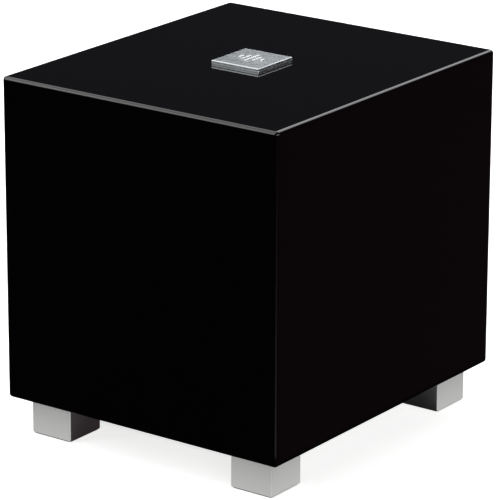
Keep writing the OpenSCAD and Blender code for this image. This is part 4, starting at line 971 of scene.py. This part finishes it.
class SUBWOOFER_OT_stage(bpy.types.Operator):
    """Set up floor, lights and camera"""
    bl_idname = "subwoofer.stage"
    bl_label = "Studio"

    def light(self, name, place, size, radiance, tint):
        """Rectangular soft box of even radiance."""
        data = bpy.data.lights.new(name, "AREA")
        data.shape = "RECTANGLE"
        data.size, data.size_y = size
        data.energy = radiance * math.pi * size[0] * size[1]
        data.color = tint
        lamp = linked(name, data)
        lamp.location = place
        lamp.rotation_euler = (Vector(place) - LIT_POINT).to_track_quat("Z", "Y").to_euler()

    def sheet(self, name, corners, skin):
        """Flat four-sided sheet through its corners."""
        bm = bmesh.new()
        bm.faces.new([bm.verts.new(corner) for corner in corners])
        return new_object(name, bm, skin)

    def corner_strip(self, near, far):
        """Dim strip on the floor, seen only in mirrors, where the cabinet's nearest upright edge mirrors
        it.
        """
        along, across = Vector((0.81, -0.586, 0)), Vector((0.586, 0.81, 0))
        corner = Vector((CABINET_HIGH.x, CABINET_LOW.y, STRIP_HEIGHT))
        return self.sheet("corner_strip", [corner + along * a + across * b for a, b in (
            (near, -near / 2), (far, -far / 4), (far, far / 4), (near, near / 2))], "card_grey_backlit")

    def floor_card(self, beside, ahead, inset):
        """Flat frame just above the floor, round the cabinet's footprint less the inset."""
        bm = bmesh.new()
        low, high = CABINET_LOW, CABINET_HIGH
        rings = [[bm.verts.new((x, y, CARD_HEIGHT)) for x, y in (
            (low.x - a, low.y - b), (high.x + a, low.y - b), (high.x + a, high.y + b),
            (low.x - a, high.y + b))] for a, b in ((beside, ahead), (-inset, -inset))]
        for i in range(4):
            j = (i + 1) % 4
            bm.faces.new((rings[0][i], rings[0][j], rings[1][j], rings[1][i]))
        return new_object("floor_card", bm, "card_white_backlit")

    def surroundings(self, scene, white_tone):
        """Dim room for the mirrors, brighter and cooler on one side, and plain white for the camera."""
        scene.world = bpy.data.worlds.new("studio_dark")
        scene.world.use_nodes = True
        tree = scene.world.node_tree
        tree.nodes.clear()
        way = add(tree, "ShaderNodeTexCoord").outputs["Generated"]
        slope = add(tree, "ShaderNodeVectorMath", {0: way, 1: (0.35, 0.9, 0.1)}, operation="DOT_PRODUCT")
        side = add(tree, "ShaderNodeSeparateXYZ", {"Vector": way})
        warmth = ranged(tree, side.outputs["X"], (-0.6, 0.6), (0, 1))
        dark = add(tree, "ShaderNodeBackground", {
            "Color": mixed(tree, warmth, (1.05, 1.05, 1.25, 1), (1, 0.6, 0.66, 1)),
            "Strength": ranged(tree, slope.outputs["Value"], (-0.8, 0.6), (0.001, 0.03))})
        white = add(tree, "ShaderNodeBackground", {"Color": white_tone, "Strength": 1.0})
        seen = add(tree, "ShaderNodeLightPath")
        both = add(tree, "ShaderNodeMixShader", {0: seen.outputs["Is Camera Ray"], 1: dark.outputs[0],
                                                 2: white.outputs[0]})
        add(tree, "ShaderNodeOutputWorld", {"Surface": both.outputs[0]})

    def camera(self, scene, settings):
        """Camera that looks at its target from the azimuth, elevation and distance set."""
        azimuth, elevation, roll = settings.azimuth, settings.elevation, settings.roll
        back = Vector((math.sin(azimuth) * math.cos(elevation), -math.cos(azimuth) * math.cos(elevation),
                       math.sin(elevation)))
        level = Vector((math.cos(azimuth), math.sin(azimuth), 0))
        upward = back.cross(level)
        right = level * math.cos(roll) + upward * math.sin(roll)
        up = upward * math.cos(roll) - level * math.sin(roll)
        data = bpy.data.cameras.new("studio_camera")
        data.lens = settings.lens
        data.clip_end = 50
        scene.camera = linked("studio_camera", data)
        axes = Matrix((right, up, back)).transposed().to_4x4()
        place = Vector(settings.target) + back * settings.distance
        scene.camera.matrix_world = Matrix.Translation(place) @ axes

    def execute(self, context):
        settings, scene = look("stage"), context.scene
        scene.view_settings.view_transform = "Standard"
        floor = self.sheet("studio_floor", [(x * FLOOR_HALF, y * FLOOR_HALF, 0) for x, y in (
            (-1, -1), (1, -1), (1, 1), (-1, 1))], "floor_matt_painted")
        floor.visible_glossy = False
        card = self.floor_card(beside=0.042, ahead=0.055, inset=0.011)
        glow = self.corner_strip(near=0.08, far=0.8)
        for sheet in (card, glow):
            sheet.visible_camera = sheet.visible_diffuse = sheet.visible_shadow = False
        feet = bpy.data.collections.new("feet")
        for obj in bpy.data.objects:
            if obj.name.startswith("foot_"):
                feet.objects.link(obj)
        card.light_linking.receiver_collection = feet
        for name, box in LIGHTS.items():
            self.light(name, *box)
        self.surroundings(scene, settings.floor)
        self.camera(scene, settings)
        return {"FINISHED"}


STEPS = (SUBWOOFER_OT_cabinet, SUBWOOFER_OT_inside, SUBWOOFER_OT_trim, SUBWOOFER_OT_driver,
         SUBWOOFER_OT_suspension, SUBWOOFER_OT_screws, SUBWOOFER_OT_panel, SUBWOOFER_OT_amplifier,
         SUBWOOFER_OT_stage)


class SUBWOOFER_PT_build(bpy.types.Panel):
    """Steps of the build and the settings they use"""
    bl_idname = "SUBWOOFER_PT_build"
    bl_label = "Subwoofer"
    bl_space_type = "VIEW_3D"
    bl_region_type = "UI"
    bl_category = "Subwoofer"

    def draw(self, context):
        for step in STEPS:
            self.layout.operator(step.bl_idname)
        for part, group in LOOKS.items():
            box = self.layout.box()
            box.label(text=part.capitalize())
            for name in group.__annotations__:
                box.prop(look(part), name)


CLASSES = tuple(LOOKS.values()) + STEPS + (SUBWOOFER_PT_build,)


def register():
    """Registers the classes and hangs each part's settings on the scene."""
    for cls in CLASSES:
        bpy.utils.register_class(cls)
    for part, group in LOOKS.items():
        setattr(bpy.types.Scene, "subwoofer_" + part, PointerProperty(type=group))


def unregister():
    """Takes the classes and the settings away again."""
    for part in LOOKS:
        delattr(bpy.types.Scene, "subwoofer_" + part)
    for cls in reversed(CLASSES):
        bpy.utils.unregister_class(cls)


def main():
    """Builds every piece."""
    register()
    for step in STEPS:
        group, _, name = step.bl_idname.partition(".")
        getattr(getattr(bpy.ops, group), name)()


if __name__ == "__main__":
    main()
